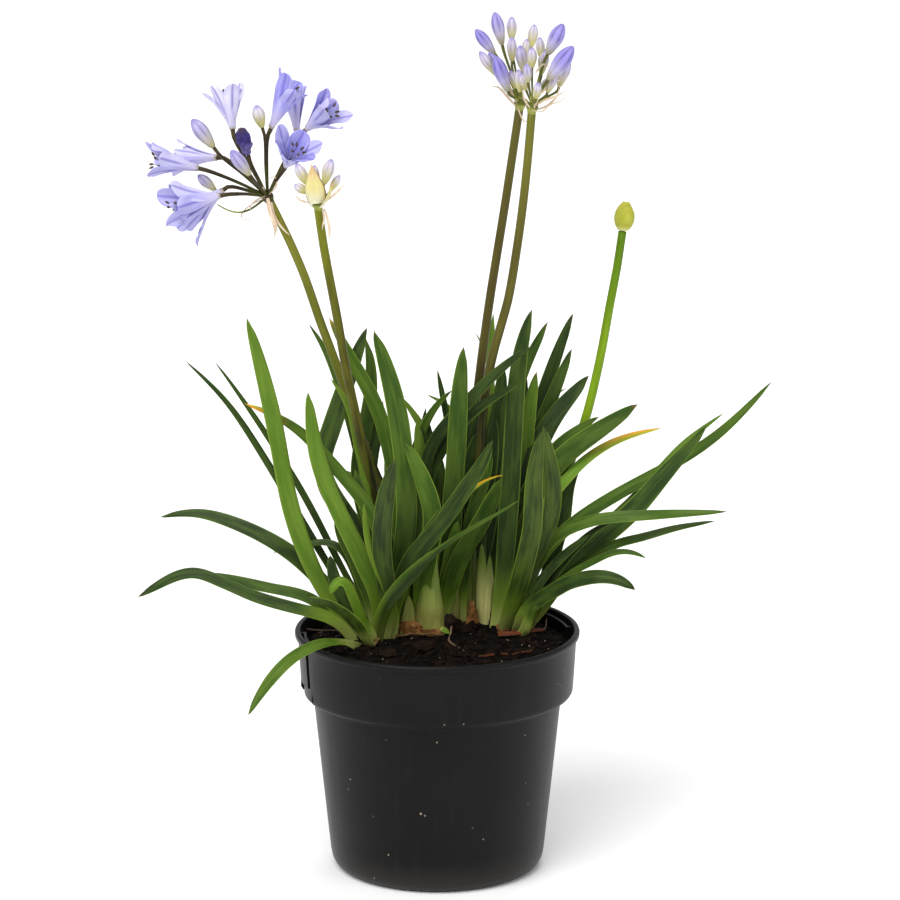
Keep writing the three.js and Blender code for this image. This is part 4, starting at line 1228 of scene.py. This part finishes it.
def open_flower(name, base, mouth, spread, tone, dice):
    """An open flower with its stamens."""
    start, end = on_head("scape_open_head", base), on_head("scape_open_head", mouth)
    length = (end - start).length / MM
    axes = frame_on(end - start, dice.uniform(0, 1))
    tepals = []
    for i in range(6):
        outer = i % 2
        flare = spread * dice.uniform(0.5, 1.02) + 0.6 * outer
        tall = length * dice.uniform(0.9, 1.18)
        roll_back = dice.uniform(0.02, 0.1)
        tepals.append(bent_sheet(
            tepal_sheet, "tepal", start, axes, math.radians(60 * i + dice.uniform(-12, 12)),
            lambda s: 1.2 + 0.3 * outer + (flare - 1.5) * s ** 1.4,
            lambda s: 0.4 + tall * (s - roll_back * s ** 5),
            spread * (0.62 if outer else 0.76) * dice.uniform(0.88, 1.06),
            lambda s: 1 + 0.8 * s, dice.uniform(0.6, 1.5), min(1, max(0, tone + dice.uniform(-0.25, 0.2))), dice))
    petals = thickened(joined(tepals, name), 0.45)
    petals.data.materials.append(tepal_look)
    threads, heads = [], []
    sag = Vector((0, 0, -1)) - axes[2] * axes[2].dot(Vector((0, 0, -1)))
    for i in range(6):
        turn = math.radians(60 * i + 30)
        out = axes[0] * math.cos(turn) + axes[1] * math.sin(turn)
        reach = length * dice.uniform(0.78, 0.98)
        spots = [start + (axes[2] * reach * s + out * (0.9 + 2.6 * s) + sag * (3.2 * s * s - 1.2 * s ** 6)) * MM
                 for s in (0.2, 0.45, 0.7, 0.9, 1.0)]
        threads.append(rod("thread", smooth_path(spots, 7), lambda s: 0.42 - 0.16 * s, 5))
        tip_way = ((spots[-1] - spots[-2]).normalized() + out * 0.8).normalized()
        ends = [spots[-1] - tip_way * 1.3 * MM, spots[-1], spots[-1] + tip_way * 1.3 * MM]
        heads.append(rod("anther", smooth_path(ends, 4), lambda s: 0.2 + 0.5 * math.sin(math.pi * s), 6))
    inner = joined(threads, "threads")
    inner.data.materials.append(filament_look)
    caps = joined(heads, "caps")
    caps.data.materials.append(anther_look)
    stands_for = [name] if name in nodes else []
    return finished(joined([petals, inner, caps], name), name.replace("flower", "bloom"), "tepal_blue", *stands_for)


dice = random.Random(23)
for name, (base, mouth, spread, tone) in OPEN_FLOWERS.items():
    bloom = open_flower(name, base, mouth, spread, tone, dice)
print("faces of one flower:", len(bloom.data.polygons))

# %% [markdown]
# ## Buds
# A bud is a turned shape with twelve sides. Every second column is then drawn in a little, which leaves six
# furrows. It is modelled once, 13 mm long, and copied to each place, longer or shorter, fatter or slimmer.

# %% One bud
BUD_OUTLINE = [
    (0.9, 0), (1.3, 0.7), (1.8, 2), (2.5, 4.2), (3, 6.4), (3.1, 8.2), (2.7, 10.2), (1.9, 11.9), (0.9, 13), (0, 13.6),
]
BUD_WIDTH, BUD_LENGTH = 6.2, 13.4


def in_furrow(place):
    """Whether a point of the bud stands on one of its six furrows."""
    column = round(math.degrees(math.atan2(place.y, place.x)) / 30)
    return column % 2 == 1 and place.z > 0.5 * MM and math.hypot(place.x, place.y) > 0.1 * MM


bud = turned("bud", BUD_OUTLINE, 12)
edit(bud)
select_points(bud, in_furrow)
bpy.ops.transform.resize(value=(0.86, 0.86, 1), center_override=(0, 0, 0))
smoothed(bud)
mark(bud, along=lambda place: place.z / (BUD_LENGTH * MM),
     across=lambda place: math.cos(6 * math.atan2(place.y, place.x)), tone=0.5)
bud.data.materials.append(bud_look)
print("bud faces:", len(bud.data.polygons))


def bud_copy(name, start, end, wide, tone, dice):
    """A copy of the bud, which stands on +Z, brought between two points. wide scales it sideways."""
    u, v, axis = frame_on(end - start, dice.uniform(0, math.tau))
    tall = (end - start).length / (BUD_LENGTH * MM)
    turn = Matrix((u * wide, v * wide, axis * tall)).transposed().to_4x4()
    made = bud.copy()
    made.data = bud.data.copy()
    made.name = name
    scene.collection.objects.link(made)
    made.data.transform(Matrix.Translation(start) @ turn)
    made.data.attributes["tone"].data.foreach_set("value", [tone] * len(made.data.vertices))
    return made


def head_stalk(scape, end, way, thickness, dice):
    """A thin stalk from the middle of the hub, which turns into line with what it carries."""
    at, up = tops[scape]
    start = at + up * 2.6 * MM
    span = (end - start).length
    before = end - way * span * 0.12
    bow = (start + before) / 2 + up * span * 0.025
    path = smooth_path([start, bow, before, end], 10)
    return rod("stalk", path, lambda s: thickness * (0.8 + 0.4 * s ** 3), 7, dice.random())


def hub_of(scape):
    """The node where the stalks meet: the scape widens a little and closes."""
    at, up = tops[scape]
    rises, radii = (-1.5, 0, 1.5, 3, 4.2, 5), (2.2, 2.35, 3.1, 3.2, 2.4, 1)
    return rod("hub", [at + up * rise * MM for rise in rises], lambda s: radii[round(5 * s)], 14)


# %% Stalks and buds of the heads
HEAD_BUDS = {
    # foot and tip, measured from the top of the scape, then its width and how ripe it is
    "scape_open_head": [
        ((-28, -12, 30), (-39, -14, 45), 8.8, 0.55), ((-3, -10, 40), (-6, -12, 52), 7.4, 0.0),
        ((-9, -26, 18), (-18, -34, 32), 8, 0.6), ((-28, -2, 6), (-37, -2, 14), 6.4, 0.4),
    ],
    "scape_bud_head_back": [
        ((-13, 2, 28), (-23, 2, 41), 7, 1.0), ((-9, 8, 32), (-13, 10, 49), 7.6, 0.8),
        ((-12, -6, 18), (-21, -9, 31), 6, 0.2), ((-6, -9, 10), (-13, -12, 29), 8.6, 1.0),
        ((-4, 10, 34), (-4, 14, 46), 6.4, 0.25), ((-4, 2, 24), (-4, 2, 37), 6, 0.2),
        ((2, -6, 20), (0, -8, 34), 7, 0.35), ((6, 10, 30), (8, 14, 42), 6, 0.1),
        ((-8, -2, 15), (-16, -5, 30), 6.5, 0.7), ((2, 8, 24), (4, 10, 35), 5, 0.0),
        ((-2, -4, 11), (-5, -9, 21), 4.6, 0.05), ((3, 4, 16), (5, 4, 26), 4.6, 0.0),
    ],
    "scape_bud_head_front": [
        ((8, 3, 29), (16, 3, 45), 9, 0.95), ((8, -6, 17), (21, -9, 35), 10, 1.0),
        ((14, 4, 12), (19, 6, 27), 7, 0.5), ((0, 2, 22), (0, 2, 33), 6, 0.1),
        ((5, 8, 18), (7, 10, 31), 6.4, 0.25), ((-2, -8, 16), (-3, -10, 26), 5.5, 0.4),
        ((-6, 4, 9), (-7, 6, 21), 5.4, 0.2), ((2, -10, 8), (3, -14, 17), 5, 0.05),
        ((8, -2, 10), (12, -4, 21), 6, 0.35), ((-3, 0, 11), (-6, -2, 20), 5, 0.1),
        ((4, 5, 8), (8, 7, 16), 4.4, 0.0), ((5, 9, 26), (4, 11, 37), 5.6, 0.1),
    ],
    "scape_opening_head": [
        ((-5, 1, 11), (-11, 2, 22), 6.6, 0.05), ((-5, 1, 7), (-12, 2, 11), 5.6, 0.0),
        ((3, 3, 11), (7, 4, 24), 7, 0.1), ((-1, 6, 9), (-2, 9, 20), 5.4, 0.0), ((6, 6, 7), (11, 8, 15), 4.6, 0.0),
    ],
}
HEAD_NODES = {
    "scape_open_head": ("open_head_stalks", stalk_look, 1.0),
    "scape_bud_head_back": ("bud_head_back", green_stalk_look, 0.8),
    "scape_bud_head_front": ("bud_head_front", green_stalk_look, 0.8),
    "scape_opening_head": ("young_buds", green_stalk_look, 0.8),
}
dice = random.Random(31)
for scape, (node_name, look, thickness) in HEAD_NODES.items():
    stalks, buds = [hub_of(scape)], []
    for base, tip, width, ripe in HEAD_BUDS[scape]:
        start, end = on_head(scape, base), on_head(scape, tip)
        way = (end - start).normalized()
        stalks.append(head_stalk(scape, start, way, thickness * (0.75 + 0.25 * ripe), dice))
        buds.append(bud_copy("one_bud", start, end, width / BUD_WIDTH, ripe, dice))
    if scape == "scape_open_head":
        for base, mouth, _, _ in OPEN_FLOWERS.values():
            start = on_head(scape, base)
            way = (on_head(scape, mouth) - start).normalized()
            stalks.append(head_stalk(scape, start + way * 0.4 * MM, way, 1.05, dice))
    short = scape.removeprefix("scape_")
    finished(joined(stalks, "stalks"), f"stalks_{short}", "flower_stalk", node_name, look=look)
    finished(joined(buds, "buds"), f"buds_{short}", "bud_violet", node_name)
print("buds:", sum(len(buds) for buds in HEAD_BUDS.values()))

# %% [markdown]
# ## Spathes and dry bracts
# Before it opens, a head is wrapped in a spathe: two papery leaves that split down one side. On the opening head
# one broad cream bract still stands before the buds and a narrow one beside them. The fifth scape ends in a
# spathe that is still closed. Dry scraps of the old spathes hang under the other heads.

# %% Spathe finishes
paint = Finish("spathe_cream", 0.55)
streak = paint.effect(tissue, 7.0, 2.5)[0]
along = paint.own("along")
paint.base(paint.mask(along, 0.1, 0.5), (240, 236, 206), (232, 218, 140))
paint.lay(paint.mask(along, 0.55, 0.92), (232, 178, 126))
paint.lay(paint.times(streak, 0.4), (226, 220, 170))
paint.lay(paint.mask(paint.own("across"), 0.72, 1.0, 0.7), (196, 130, 74))
spathe_look = paint.done(streak, 0.0003)

paint = Finish("spathe_green", 0.5)
streak = paint.effect(tissue, 4.0, 2.0)[0]
fine = paint.effect(grain, 700.0, 160.0)[0]
along = paint.own("along")
paint.base(paint.mask(along, 0.0, 0.2), (214, 212, 140), (154, 156, 40))
paint.lay(paint.times(streak, 0.4), (188, 186, 78))
paint.lay(paint.times(paint.mask(fine, 0.62, 0.7), paint.mask(along, 0.45, 0.9)), (196, 122, 50))
closed_look = paint.done(streak, 0.0003)

# %% Spathe bracts
BRACT_SHAPE = [(0, 0.66), (0.14, 0.9), (0.32, 1), (0.5, 0.86), (0.7, 0.56), (0.86, 0.28), (1, 0.06)]
BRACTS = {"spathe_front": (0, 11.5, 26.5, 0), "spathe_side": (62, 6, 17, 6)}
for name, (turn, width, height, lean) in BRACTS.items():
    at, up = tops["scape_opening_head"]
    out = facing(turn, 0)
    path = []
    for i in range(9):
        s = i / 8
        away = 2.2 + 2.9 * min(1, 3 * s) + math.sin(math.pi * s) * width * 0.12 + lean * s
        path.append(at + (up * (height * s - 0.4) + out * away) * MM)
    cage = strap_rings(path, lambda s: width * at_outline(BRACT_SHAPE, s), lambda s: out * -1,
                       lambda s: 0.5, lambda s: 1.1 - 0.5 * s)
    piece = blade(name, cage, path[-1], 0.5)
    finished(piece, name.replace("spathe", "bract"), "spathe_cream", name, look=spathe_look)

# %% The closed spathe
CLOSED_OUTLINE = [
    (2.5, 0), (3.3, 0.6), (4.6, 2.4), (5.6, 5), (5.9, 7.4), (5.5, 9.8), (4.7, 12), (3.4, 14.2), (2.4, 15.4),
    (1.9, 15.9),
]
closed = turned("closed", CLOSED_OUTLINE, 12)
edit(closed)
select_points(closed, lambda place: place.z > 6 * MM and abs(place.x) < 1.8 * MM and place.y < 0)
bpy.ops.transform.resize(value=(1, 0.8, 1), center_override=(0, 0, 0.01))
for side, move in ((-1, (-0.7, 0, -1.2)), (1, (0.5, 0, -0.6))):
    select_points(closed, lambda place: place.z > 11.5 * MM and place.x * side > MM)
    bpy.ops.transform.translate(value=Vector(move) * MM)
smoothed(closed, 2)
mark(closed, along=lambda place: place.z / (15.9 * MM), across=lambda place: place.x / (6 * MM), tone=0.5)
at, up = tops["scape_closed_bud"]
turn = up.to_track_quat("Z", "Y").to_matrix().to_4x4()
closed.data.transform(Matrix.Translation(at + up * 0.3 * MM) @ turn)
finished(closed, "spathe_closed", "bud_green", "closed_bud", look=closed_look)

# %% [markdown]
# ## Crowns and sheaths
# Leaves and scapes rise from swollen crowns at the level of the compost. Their outermost leaf bases clasp
# the others like the layers of a leek: pale and fleshy when they live, brown and papery when they are spent.
# The core of a crown is a turned shape. Each clasping base is a flat sheet with a pointed outline that is bent
# round it, as the tepals are, and given some thickness.

# %% Crown finishes


def fading_finish(name, low, high, bottom, top, streaks=0.28):
    """A finish that changes from one colour to another with the height above the floor, in metres."""
    paint = Finish(name, 0.5)
    streak, mottle = paint.effect(tissue, 7.0, 2.0)
    paint.base(paint.mask(paint.height(), bottom, top), low, high)
    paint.lay(paint.times(streak, streaks), (78, 98, 34))
    paint.lay(paint.times(mottle, 0.2), (150, 146, 84))
    return paint.done(streak, 0.0003)


bulb_look = fading_finish("crown_pale", (150, 146, 76), (104, 132, 42), 0.122, 0.16, 0.5)
shoot_look = fading_finish("crown_cream", (212, 208, 132), (96, 124, 38), 0.132, 0.16)
sheath_look = fading_finish("sheath_green", (118, 116, 56), (66, 92, 22), 0.122, 0.158, 0.5)
husk_look = plain_tissue("husk_brown", (158, 110, 54), (84, 52, 28), 0.75, 0.0006)
dark_husk_look = plain_tissue("husk_dark", (56, 38, 27), (24, 16, 13), 0.85, 0.0008)

# %% Crowns
CROWNS = {
    # middle x, y, radius, radius of the neck, height, finish
    "crown_centre": (-5, 24, 7.5, 3, 26, bulb_look),
    "crown_back": (4, 44, 5, 2.6, 20, bulb_look),
    "crown_pale_shoot": (25, 34, 3.5, 2, 26, shoot_look),
    "crown_front_right": (36, 35, 5, 2.8, 18, bulb_look),
}
for name, (x, y, radius, neck, height, look) in CROWNS.items():
    shoulder = (radius + neck) / 2
    outline = [(0, radius * 0.8), (0.06, radius * 0.92), (0.2, radius), (0.45, shoulder), (0.75, neck), (1, neck * 0.8)]
    core = turned(name, [(wide, 120.8 + s * (height + 0.5)) for s, wide in outline], 18)
    edit(core)
    bpy.ops.transform.translate(value=(x * MM, y * MM, 0))
    smoothed(core, 2)
    mark(core, along=lambda place: (place.z / MM - COMPOST_TOP) / height,
         across=lambda place: math.sin(3 * math.atan2(place.y - y * MM, place.x - x * MM)), tone=0.5)
    finished(core, name.replace("crown", "core"), "leaf_base", name, look=look)

# %% Swollen base of the leaf before the centre crown
BULB_OUTLINE = [
    (6.4, 120.5), (8, 122.5), (8.6, 126.5), (8.4, 131), (7.8, 136), (6.9, 141), (5.8, 147), (5, 153), (4.5, 160),
    (3.7, 167), (1.7, 174),
]
BULB_X, BULB_Y = -4.7, 12.5
bulb = turned("bulb", BULB_OUTLINE, 20)
edit(bulb)
bpy.ops.transform.resize(value=(1, 0.8, 1), center_override=(0, 0, 0))
bpy.ops.transform.translate(value=(BULB_X * MM, BULB_Y * MM, 0))
select_points(bulb, lambda place: place.z > 134 * MM)
bpy.ops.transform.translate(value=(0.6 * MM, -2.4 * MM, 0))
smoothed(bulb)
mark(bulb, along=lambda place: (place.z - 0.12) / 0.044, tone=0.4,
     across=lambda place: math.sin(math.atan2(place.y - BULB_Y * MM, place.x - BULB_X * MM)))
finished(bulb, "swollen_base", "leaf_base", look=bulb_look)

# %% Clasping bases
SHEATH_OUTLINE = [(0, 1), (0.25, 1), (0.5, 0.86), (0.75, 0.56), (0.92, 0.26), (1, 0.08)]
sheath_sheet = flat_sheet("sheath_sheet", SHEATH_OUTLINE, 6, 10)
UPRIGHT = frame_on(Vector((0, 0, 1)))
SHEATHS = [
    # middle x, y, turn from +X, radius at the foot and at the tip, width, height, finish
    (-5, 24, -95, 7.7, 4.2, 15, 30, bulb_look), (-5, 24, -25, 7.8, 4.4, 14, 24, sheath_look),
    (-5, 24, -165, 7.8, 5, 13, 36, bulb_look), (-17, 12, -70, 6, 6, 10, 24, bulb_look),
    (7, 31, -95, 6, 4, 12, 48, sheath_look), (14, 35, -80, 5.5, 4, 11, 52, sheath_look),
    (1, 40, -90, 7, 5, 14, 44, sheath_look), (18, 40, -60, 6, 5, 12, 46, sheath_look),
    (25, 33, -115, 4, 3.4, 10, 46, shoot_look), (26, 32, -60, 4.4, 3.6, 9, 40, shoot_look),
    (33, 31, -110, 5.4, 4, 10, 30, sheath_look), (39, 31, -80, 6, 6, 11, 26, sheath_look),
    (8, 50, 100, 12, 11, 18, 34, sheath_look), (-20, 42, 130, 11, 11, 18, 34, sheath_look),
    (22, 50, 80, 10, 11, 17, 34, sheath_look), (42, 40, 60, 9, 11, 16, 32, sheath_look),
    (-34, 24, 150, 9, 11, 15, 28, sheath_look),
]


def clasping(name, plan, sheet, outline, ruffle, thickness, tone, dice):
    """One clasping base round an upright axis."""
    x, y, turn, foot, top, width, height, look = plan
    made = bent_sheet(
        sheet, name, Vector((x, y, 0)) * MM, UPRIGHT, math.radians(turn), lambda s: foot + (top - foot) * s ** 1.4,
        lambda s: 120.6 + height * s, width, lambda s: 1 + 0.2 * s, ruffle, tone, dice, outline)
    thickened(made, thickness)
    made.data.materials.append(look)
    return made


dice = random.Random(5)
for look, name in ((sheath_look, "leaf_sheaths"), (bulb_look, "crown_sheaths"), (shoot_look, "shoot_sheaths")):
    made = [clasping("sheath", plan, sheath_sheet, SHEATH_OUTLINE, 0.4, 1.1, dice.random(), dice)
            for plan in SHEATHS if plan[-1] is look]
    finished(joined(made, name), name, "leaf_base")
print("clasping bases:", len(SHEATHS))

# %% Papery husks
HUSKS = [
    # the same eight as for the clasping bases
    (-14, 14, -95, 9, 10.2, 20, 11, husk_look), (-4.7, 13.4, -95, 8.2, 9, 23, 6.5, husk_look),
    (-18, 16, -120, 7, 8.6, 12, 10, husk_look),
    (-14, 18, -150, 9.2, 11, 12, 6, husk_look), (-3, 23, -60, 9, 10, 11, 9, husk_look),
    (4, 22, -70, 6, 8, 9, 12, dark_husk_look), (10, 26, -110, 6, 7, 10, 10, dark_husk_look),
    (15, 26, -60, 6, 8, 8, 14, husk_look), (21, 31, -120, 5, 6, 8, 16, husk_look),
    (29, 30, -70, 5, 7, 8, 13, dark_husk_look), (38, 24, -120, 8, 8, 10, 6, husk_look),
]
TORN_OUTLINE = [(0, 1), (0.3, 0.98), (0.55, 0.8), (0.7, 0.86), (0.86, 0.5), (1, 0.3)]
torn_sheet = flat_sheet("torn_sheet", TORN_OUTLINE, 10, 8)
for look, name in ((husk_look, "papery_husks"), (dark_husk_look, "dark_husks")):
    made = [clasping("husk", plan, torn_sheet, TORN_OUTLINE, 1.4, 0.35, dice.random(), dice)
            for plan in HUSKS if plan[-1] is look]
    finished(joined(made, name), name, "leaf_base")
print("husks:", len(HUSKS))

# %% [markdown]
# ## Litter on the compost
# Bark chips, roots, a twig, a dead leaf and one fallen green leaf lie on the compost. A chip is a small cube,
# subdivided and roughened, and sown like the crumbs. Roots and the twig are rods whose paths follow the height
# of the crumbly layer under them.

# %% Litter finishes
paint = Finish("bark", 0.88, 0.06)
fine, coarse = paint.effect(grain, 1100.0, 220.0)
paint.base(paint.mask(coarse, 0.35, 0.65), (13, 9, 7), (30, 19, 14))
paint.lay(paint.mask(fine, 0.55, 0.7, 0.5), (62, 40, 28))
bark_look = paint.done(fine, 0.0008)
paint = Finish("grit_pale", 0.8)
fine, coarse = paint.effect(grain, 1800.0, 300.0)
paint.base(coarse, (150, 136, 116), (84, 66, 50))
grit_look = paint.done(fine, 0.0004)
root_look = plain_tissue("root_pale", (150, 124, 98), (88, 64, 48), 0.7)
twig_look = plain_tissue("twig_tan", (146, 112, 66), (62, 42, 26), 0.75, 0.0006)
dead_look = plain_tissue("dead_leaf", (118, 60, 26), (66, 32, 18), 0.6, 0.0005)
print("finishes in all:", len(bpy.data.materials))

# %% Bark chips and grit


def chip(length, width, thickness, seed, cuts=1):
    """A flat rough chip of bark."""
    bpy.ops.object.select_all(action="DESELECT")
    bpy.ops.mesh.primitive_cube_add(size=1, scale=(length * MM, width * MM, thickness * MM))
    piece = bpy.context.object
    bpy.ops.object.transform_apply(scale=True)
    edit(piece)
    bpy.ops.mesh.subdivide(number_cuts=cuts)
    bpy.ops.transform.vertex_random(offset=thickness * MM * 0.4, seed=seed)
    return pick(piece)


CHIPS = (((7, 2.6, 1.3), 60), ((4.2, 3, 1.7), 80), ((3, 1.4, 1.2), 140))  # size and how many
BIG_CHIPS = [
    # x, y, height above the compost, scale
    (6, 21, 2.6, 1.5), (11, 18, 1.5, 1.2), (-8, -22, 1, 1.5), (12, -38, 0.6, 1.3), (46, -4, 0.4, 0.7),
    (-26, -34, 0.6, 1.1), (30, -26, 0.6, 1.2), (17, 19, 2, 1.1),
]
for batch, (size, count) in enumerate(CHIPS):
    places = [tumbled(dice, *anywhere(dice, 66), 0.5, dice.uniform(0.5, 1.25)) for _ in range(count)]
    chips = sown("chips", chip(*size, batch + 3), places)
    finished(chips, f"bark_chips_{batch + 1}", "compost", look=bark_look, sharp=35)
places = [tumbled(dice, *big) for big in BIG_CHIPS]
finished(sown("big", chip(8, 5.5, 3.4, 9, 3), places), "bark_lumps", "compost", look=bark_look, sharp=35)
places = [tumbled(dice, *anywhere(dice, 66), 0.8, dice.uniform(0.5, 1.3)) for _ in range(70)]
finished(sown("grit", pebble(0.45, 0.8, 4), places), "grit", "compost", look=grit_look, sharp=30)
print("chips:", sum(count for _, count in CHIPS) + len(BIG_CHIPS))

# %% Roots, twig and fallen leaves


def lying(spots, rise):
    """A path over the compost through (x, y) spots in millimetres, or (x, y, extra height)."""
    return [Vector((x, y, ground(x, y) + rise + sum(extra))) * MM for x, y, *extra in spots]


def lying_rod(name, spots, radius, look, count=24):
    """A rod that lies on the compost and tapers a little."""
    path = smooth_path(lying(spots, radius * 0.7), count)
    path = [place + noise.noise_vector(place * 260) * 0.6 * MM for place in path]
    made = rod(name, path, lambda s: radius * (1 - 0.45 * s) * (1 + 0.2 * math.sin(23 * s)), 7, dice.random())
    finished(smoothed(made), name, "compost", look=look)


def lying_strap(name, spots, rise, width_at, looks, channel, thickness, tone, slot, look):
    """A strap that lies on the compost."""
    path = smooth_path(lying(spots, rise), 12)
    cage = strap_rings(path, width_at, lambda s: Vector(looks), lambda s: channel, lambda s: thickness)
    finished(blade(name, cage, path[-1], tone), name, slot, look=look)


noise.seed_set(3)
lying_rod("twig", [(-25, 2, 0.8), (-17, 2.6, 1.2), (-9, 2.8, 1.2), (-2, 3.4, 1.2), (4, 5, 1)], 0.85, twig_look)
lying_rod("stub", [(-33, -13, 0.3), (-31, -9, 1.2), (-28, -3, 3)], 1.1, twig_look, 8)
lying_rod("root_long", [(9, 32, 5), (8, 22, 3.4), (7, 8, 0.8), (6, -4, 0.6), (9, -14, 0.8), (13, -20), (14, -27)],
          0.65, root_look)
lying_rod("root_left", [(-70, 17, 2), (-62, 16, 1), (-54, 15, 0.6), (-47, 9, 0.4)], 0.45, root_look)
lying_rod("root_right", [(58.7, 40, 4), (58, 30, 1.6), (57, 17, 0.8)], 0.4, root_look)
lying_rod("root_small", [(-14, -3, 0.4), (-12, 4, 0.8), (-14, 9, 3)], 0.35, root_look, 10)
lying_rod("stick_front", [(16, -34, 0.2), (30, -31, 0.4), (46, -27, 0.3), (50, -24, 0.8)], 0.7, dead_look)
lying_rod("stick_left", [(-52, 24, 0.4), (-44, 22, 0.6), (-30, 17, 0.6)], 0.6, twig_look)
lying_strap("dead_leaf", [(32, 3.5, 1.6), (41, 6, 1.4), (50, 10, 1.2), (58, 14, 1.4)], 0.8,
            lambda s: 4.6 * (1 - 0.35 * s), (0.1, -0.5, 1), -0.25, 0.7, 0.4, "compost", dead_look)
lying_strap("fallen_leaf", [(1.4, 8.8, 4.6), (3.4, 8, 3.6), (5.5, 7, 2.4), (7.5, 6, 1.2)], 0.4,
            lambda s: 3.4 * max(0.25, math.sin(math.pi * min(1, 0.12 + s))), (0, -1, 0.8), 0.2, 0.5, 0.6,
            "leaf_bright", leaf_looks["lime"])

# %% [markdown]
# ## Dry scraps of the old spathes
# Under each head hang the dry, curled remains of the spathe and of small bracts between the stalks. They are
# narrow straps like the leaves, with a twist, and threads.

# %% Dry scraps
SCRAPS = {
    # spots of each scrap, measured from the top of its scape, and its width
    "scape_open_head": [
        ([(-1, -3, 2), (1, -5, -5), (3, -5, -13), (2, -4, -19)], 3),
        ([(1, -3, 0), (3, -4, -8), (7, -4, -14), (11, -4, -18)], 1.6),
        ([(-2, -3, 3), (-7, -6, 1), (-10, -6, -2), (-9, -6, -5)], 1.1),
        ([(0, -4, 4), (4, -6, 9), (3, -6, 14), (-1, -6, 12)], 1.0),
        ([(-2, -3, 2), (-12, -5, -3), (-15, -5, -8), (-10, -5, -9), (-7, -5, -5)], 0.7),
        ([(-2, -3, 4), (-4, -6, 10), (-7, -6, 14)], 0.8),
    ],
    "scape_opening_head": [
        ([(2, 0, -1), (3, -2, -6), (2, -2, -12)], 1.2),
        ([(3, 0, -1), (5, -2, -7), (6, -2, -13), (5, -2, -17)], 1.8), ([(5, 1, 3), (11, 0, 9), (14, 0, 12)], 1.3),
        ([(-3, -2, 2), (-9, -3, 4), (-12, -3, 8)], 1.2),
    ],
    "scape_bud_head_back": [
        ([(-2, -2, 1), (-6, -3, 6), (-12, -3, 12), (-16, -3, 11)], 1.5),
        ([(-1, -3, 1), (1, -4, -4), (3, -4, -7), (5, -4, -4)], 0.9),
        ([(-1, -2, 2), (-4, -4, 8), (-6, -4, 16)], 1.4),
    ],
    "scape_bud_head_front": [
        ([(1, -3, 2), (6, -4, 6), (13, -5, 9), (18, -5, 12)], 1.4),
        ([(2, -2, 1), (8, -3, 3), (13, -3, 9), (14, -3, 14)], 1.5), ([(-1, -3, 2), (-4, -4, 7), (-5, -4, 13)], 1.1),
        ([(3, 0, 8), (10, 0, 14), (16, 0, 17)], 1.6), ([(1, -3, 2), (3, -5, 9), (2, -5, 15)], 1.3),
        ([(2, 0, 20), (6, -2, 25), (9, -2, 23)], 1.2),
        ([(0, -3, 1), (5, -4, 0), (9, -4, 4), (15, -4, 6), (19, -4, 11)], 0.8),
    ],
}
for scape, scraps in SCRAPS.items():
    made = []
    for offsets, width in scraps:
        path = smooth_path([on_head(scape, offset) for offset in offsets], 12)
        turn = dice.uniform(-1, 1)
        cage = strap_rings(
            path, lambda s: width * math.sin(math.pi * (0.2 + 0.75 * s)),
            lambda s: Vector((turn * math.sin(5 * s), -1, 0.4 + 0.8 * math.cos(4 * s))), lambda s: 0.5, lambda s: 0.35)
        made.append(blade("scrap", cage, path[-1], dice.random()))
    finished(joined(made, "scraps"), scape.replace("scape", "scraps"), "spathe_cream", look=dry_look)
print("dry scraps:", sum(len(scraps) for scraps in SCRAPS.values()))

# %% Withered flower
start, end = on_head("scape_open_head", (-10, -18, 27)), on_head("scape_open_head", (-13.6, -21, 41.6))
withered = bud_copy("withered", start, end, 1.4, 1.0, dice)
crumple = bpy.data.textures.new("crumple", "CLOUDS")
crumple.noise_scale = 0.003
smoothed(withered, 2)
modify(withered, "DISPLACE", texture=crumple, strength=0.003, mid_level=0.5, texture_coords="LOCAL")
finished(withered, "withered_flower", "bud_violet", look=withered_look)
way = (end - start).normalized()
finished(head_stalk("scape_open_head", start, way, 0.95, dice), "withered_stalk", "flower_stalk", look=stalk_look)

HOOK = [(-27, -5, -1), (-21, -6, -4), (-15, -6, -5), (-9, -5, -3), (-2, -2, 2)]
path = smooth_path([on_head("scape_open_head", spot) for spot in HOOK], 16)
hook = rod("hook", path, lambda s: 0.35 + 0.35 * s, 7, 0.4)
finished(hook, "hooked_bract", "flower_stalk", look=green_stalk_look)

# %% [markdown]
# ## Specks on the pot
# Watering has splashed a few crumbs and grains onto the wall. Each is a flattened lump that sits on the plastic:
# a short ray from outside finds the wall under it.

# %% Specks on the pot
SPLASHES = [
    # turn from the pot's front in degrees, height, scale
    (-47, 59, 0.7), (-49, 53, 0.6), (-8, 46, 1.0), (-6, 45, 0.8), (3, 97.5, 0.6), (11, 97.5, 0.6), (0, 86, 0.7),
    (-26, 21, 0.8), (-36, 6, 0.7), (66, 114, 0.6), (60, 109, 0.6), (63, 107, 0.5), (45, 84, 0.6), (24, 30, 0.6),
]


def splashed(turn, height, scale):
    """The place of a lump on the pot's outside."""
    out = facing(turn, 0)
    _, spot, _, _ = pot_wall.ray_cast(out * 0.1 + Vector((0, 0, height * MM)), -out)
    return Matrix.Translation(spot) @ out.to_track_quat("Z", "Y").to_matrix().to_4x4() @ Matrix.Scale(scale, 4)


pot_wall = bpy.data.objects["pot_moulded"]
grains = sown("splashes", pebble(0.9, 0.35, 8), [splashed(*spot) for spot in SPLASHES])
finished(grains, "pot_splashes", "compost", look=grit_look, sharp=30)

# %% [markdown]
# ## Templates
# The shapes that were only copied are removed.

# %% Remove the templates
for template in (tepal_sheet, sheath_sheet, torn_sheet, bud):
    bpy.data.objects.remove(template)
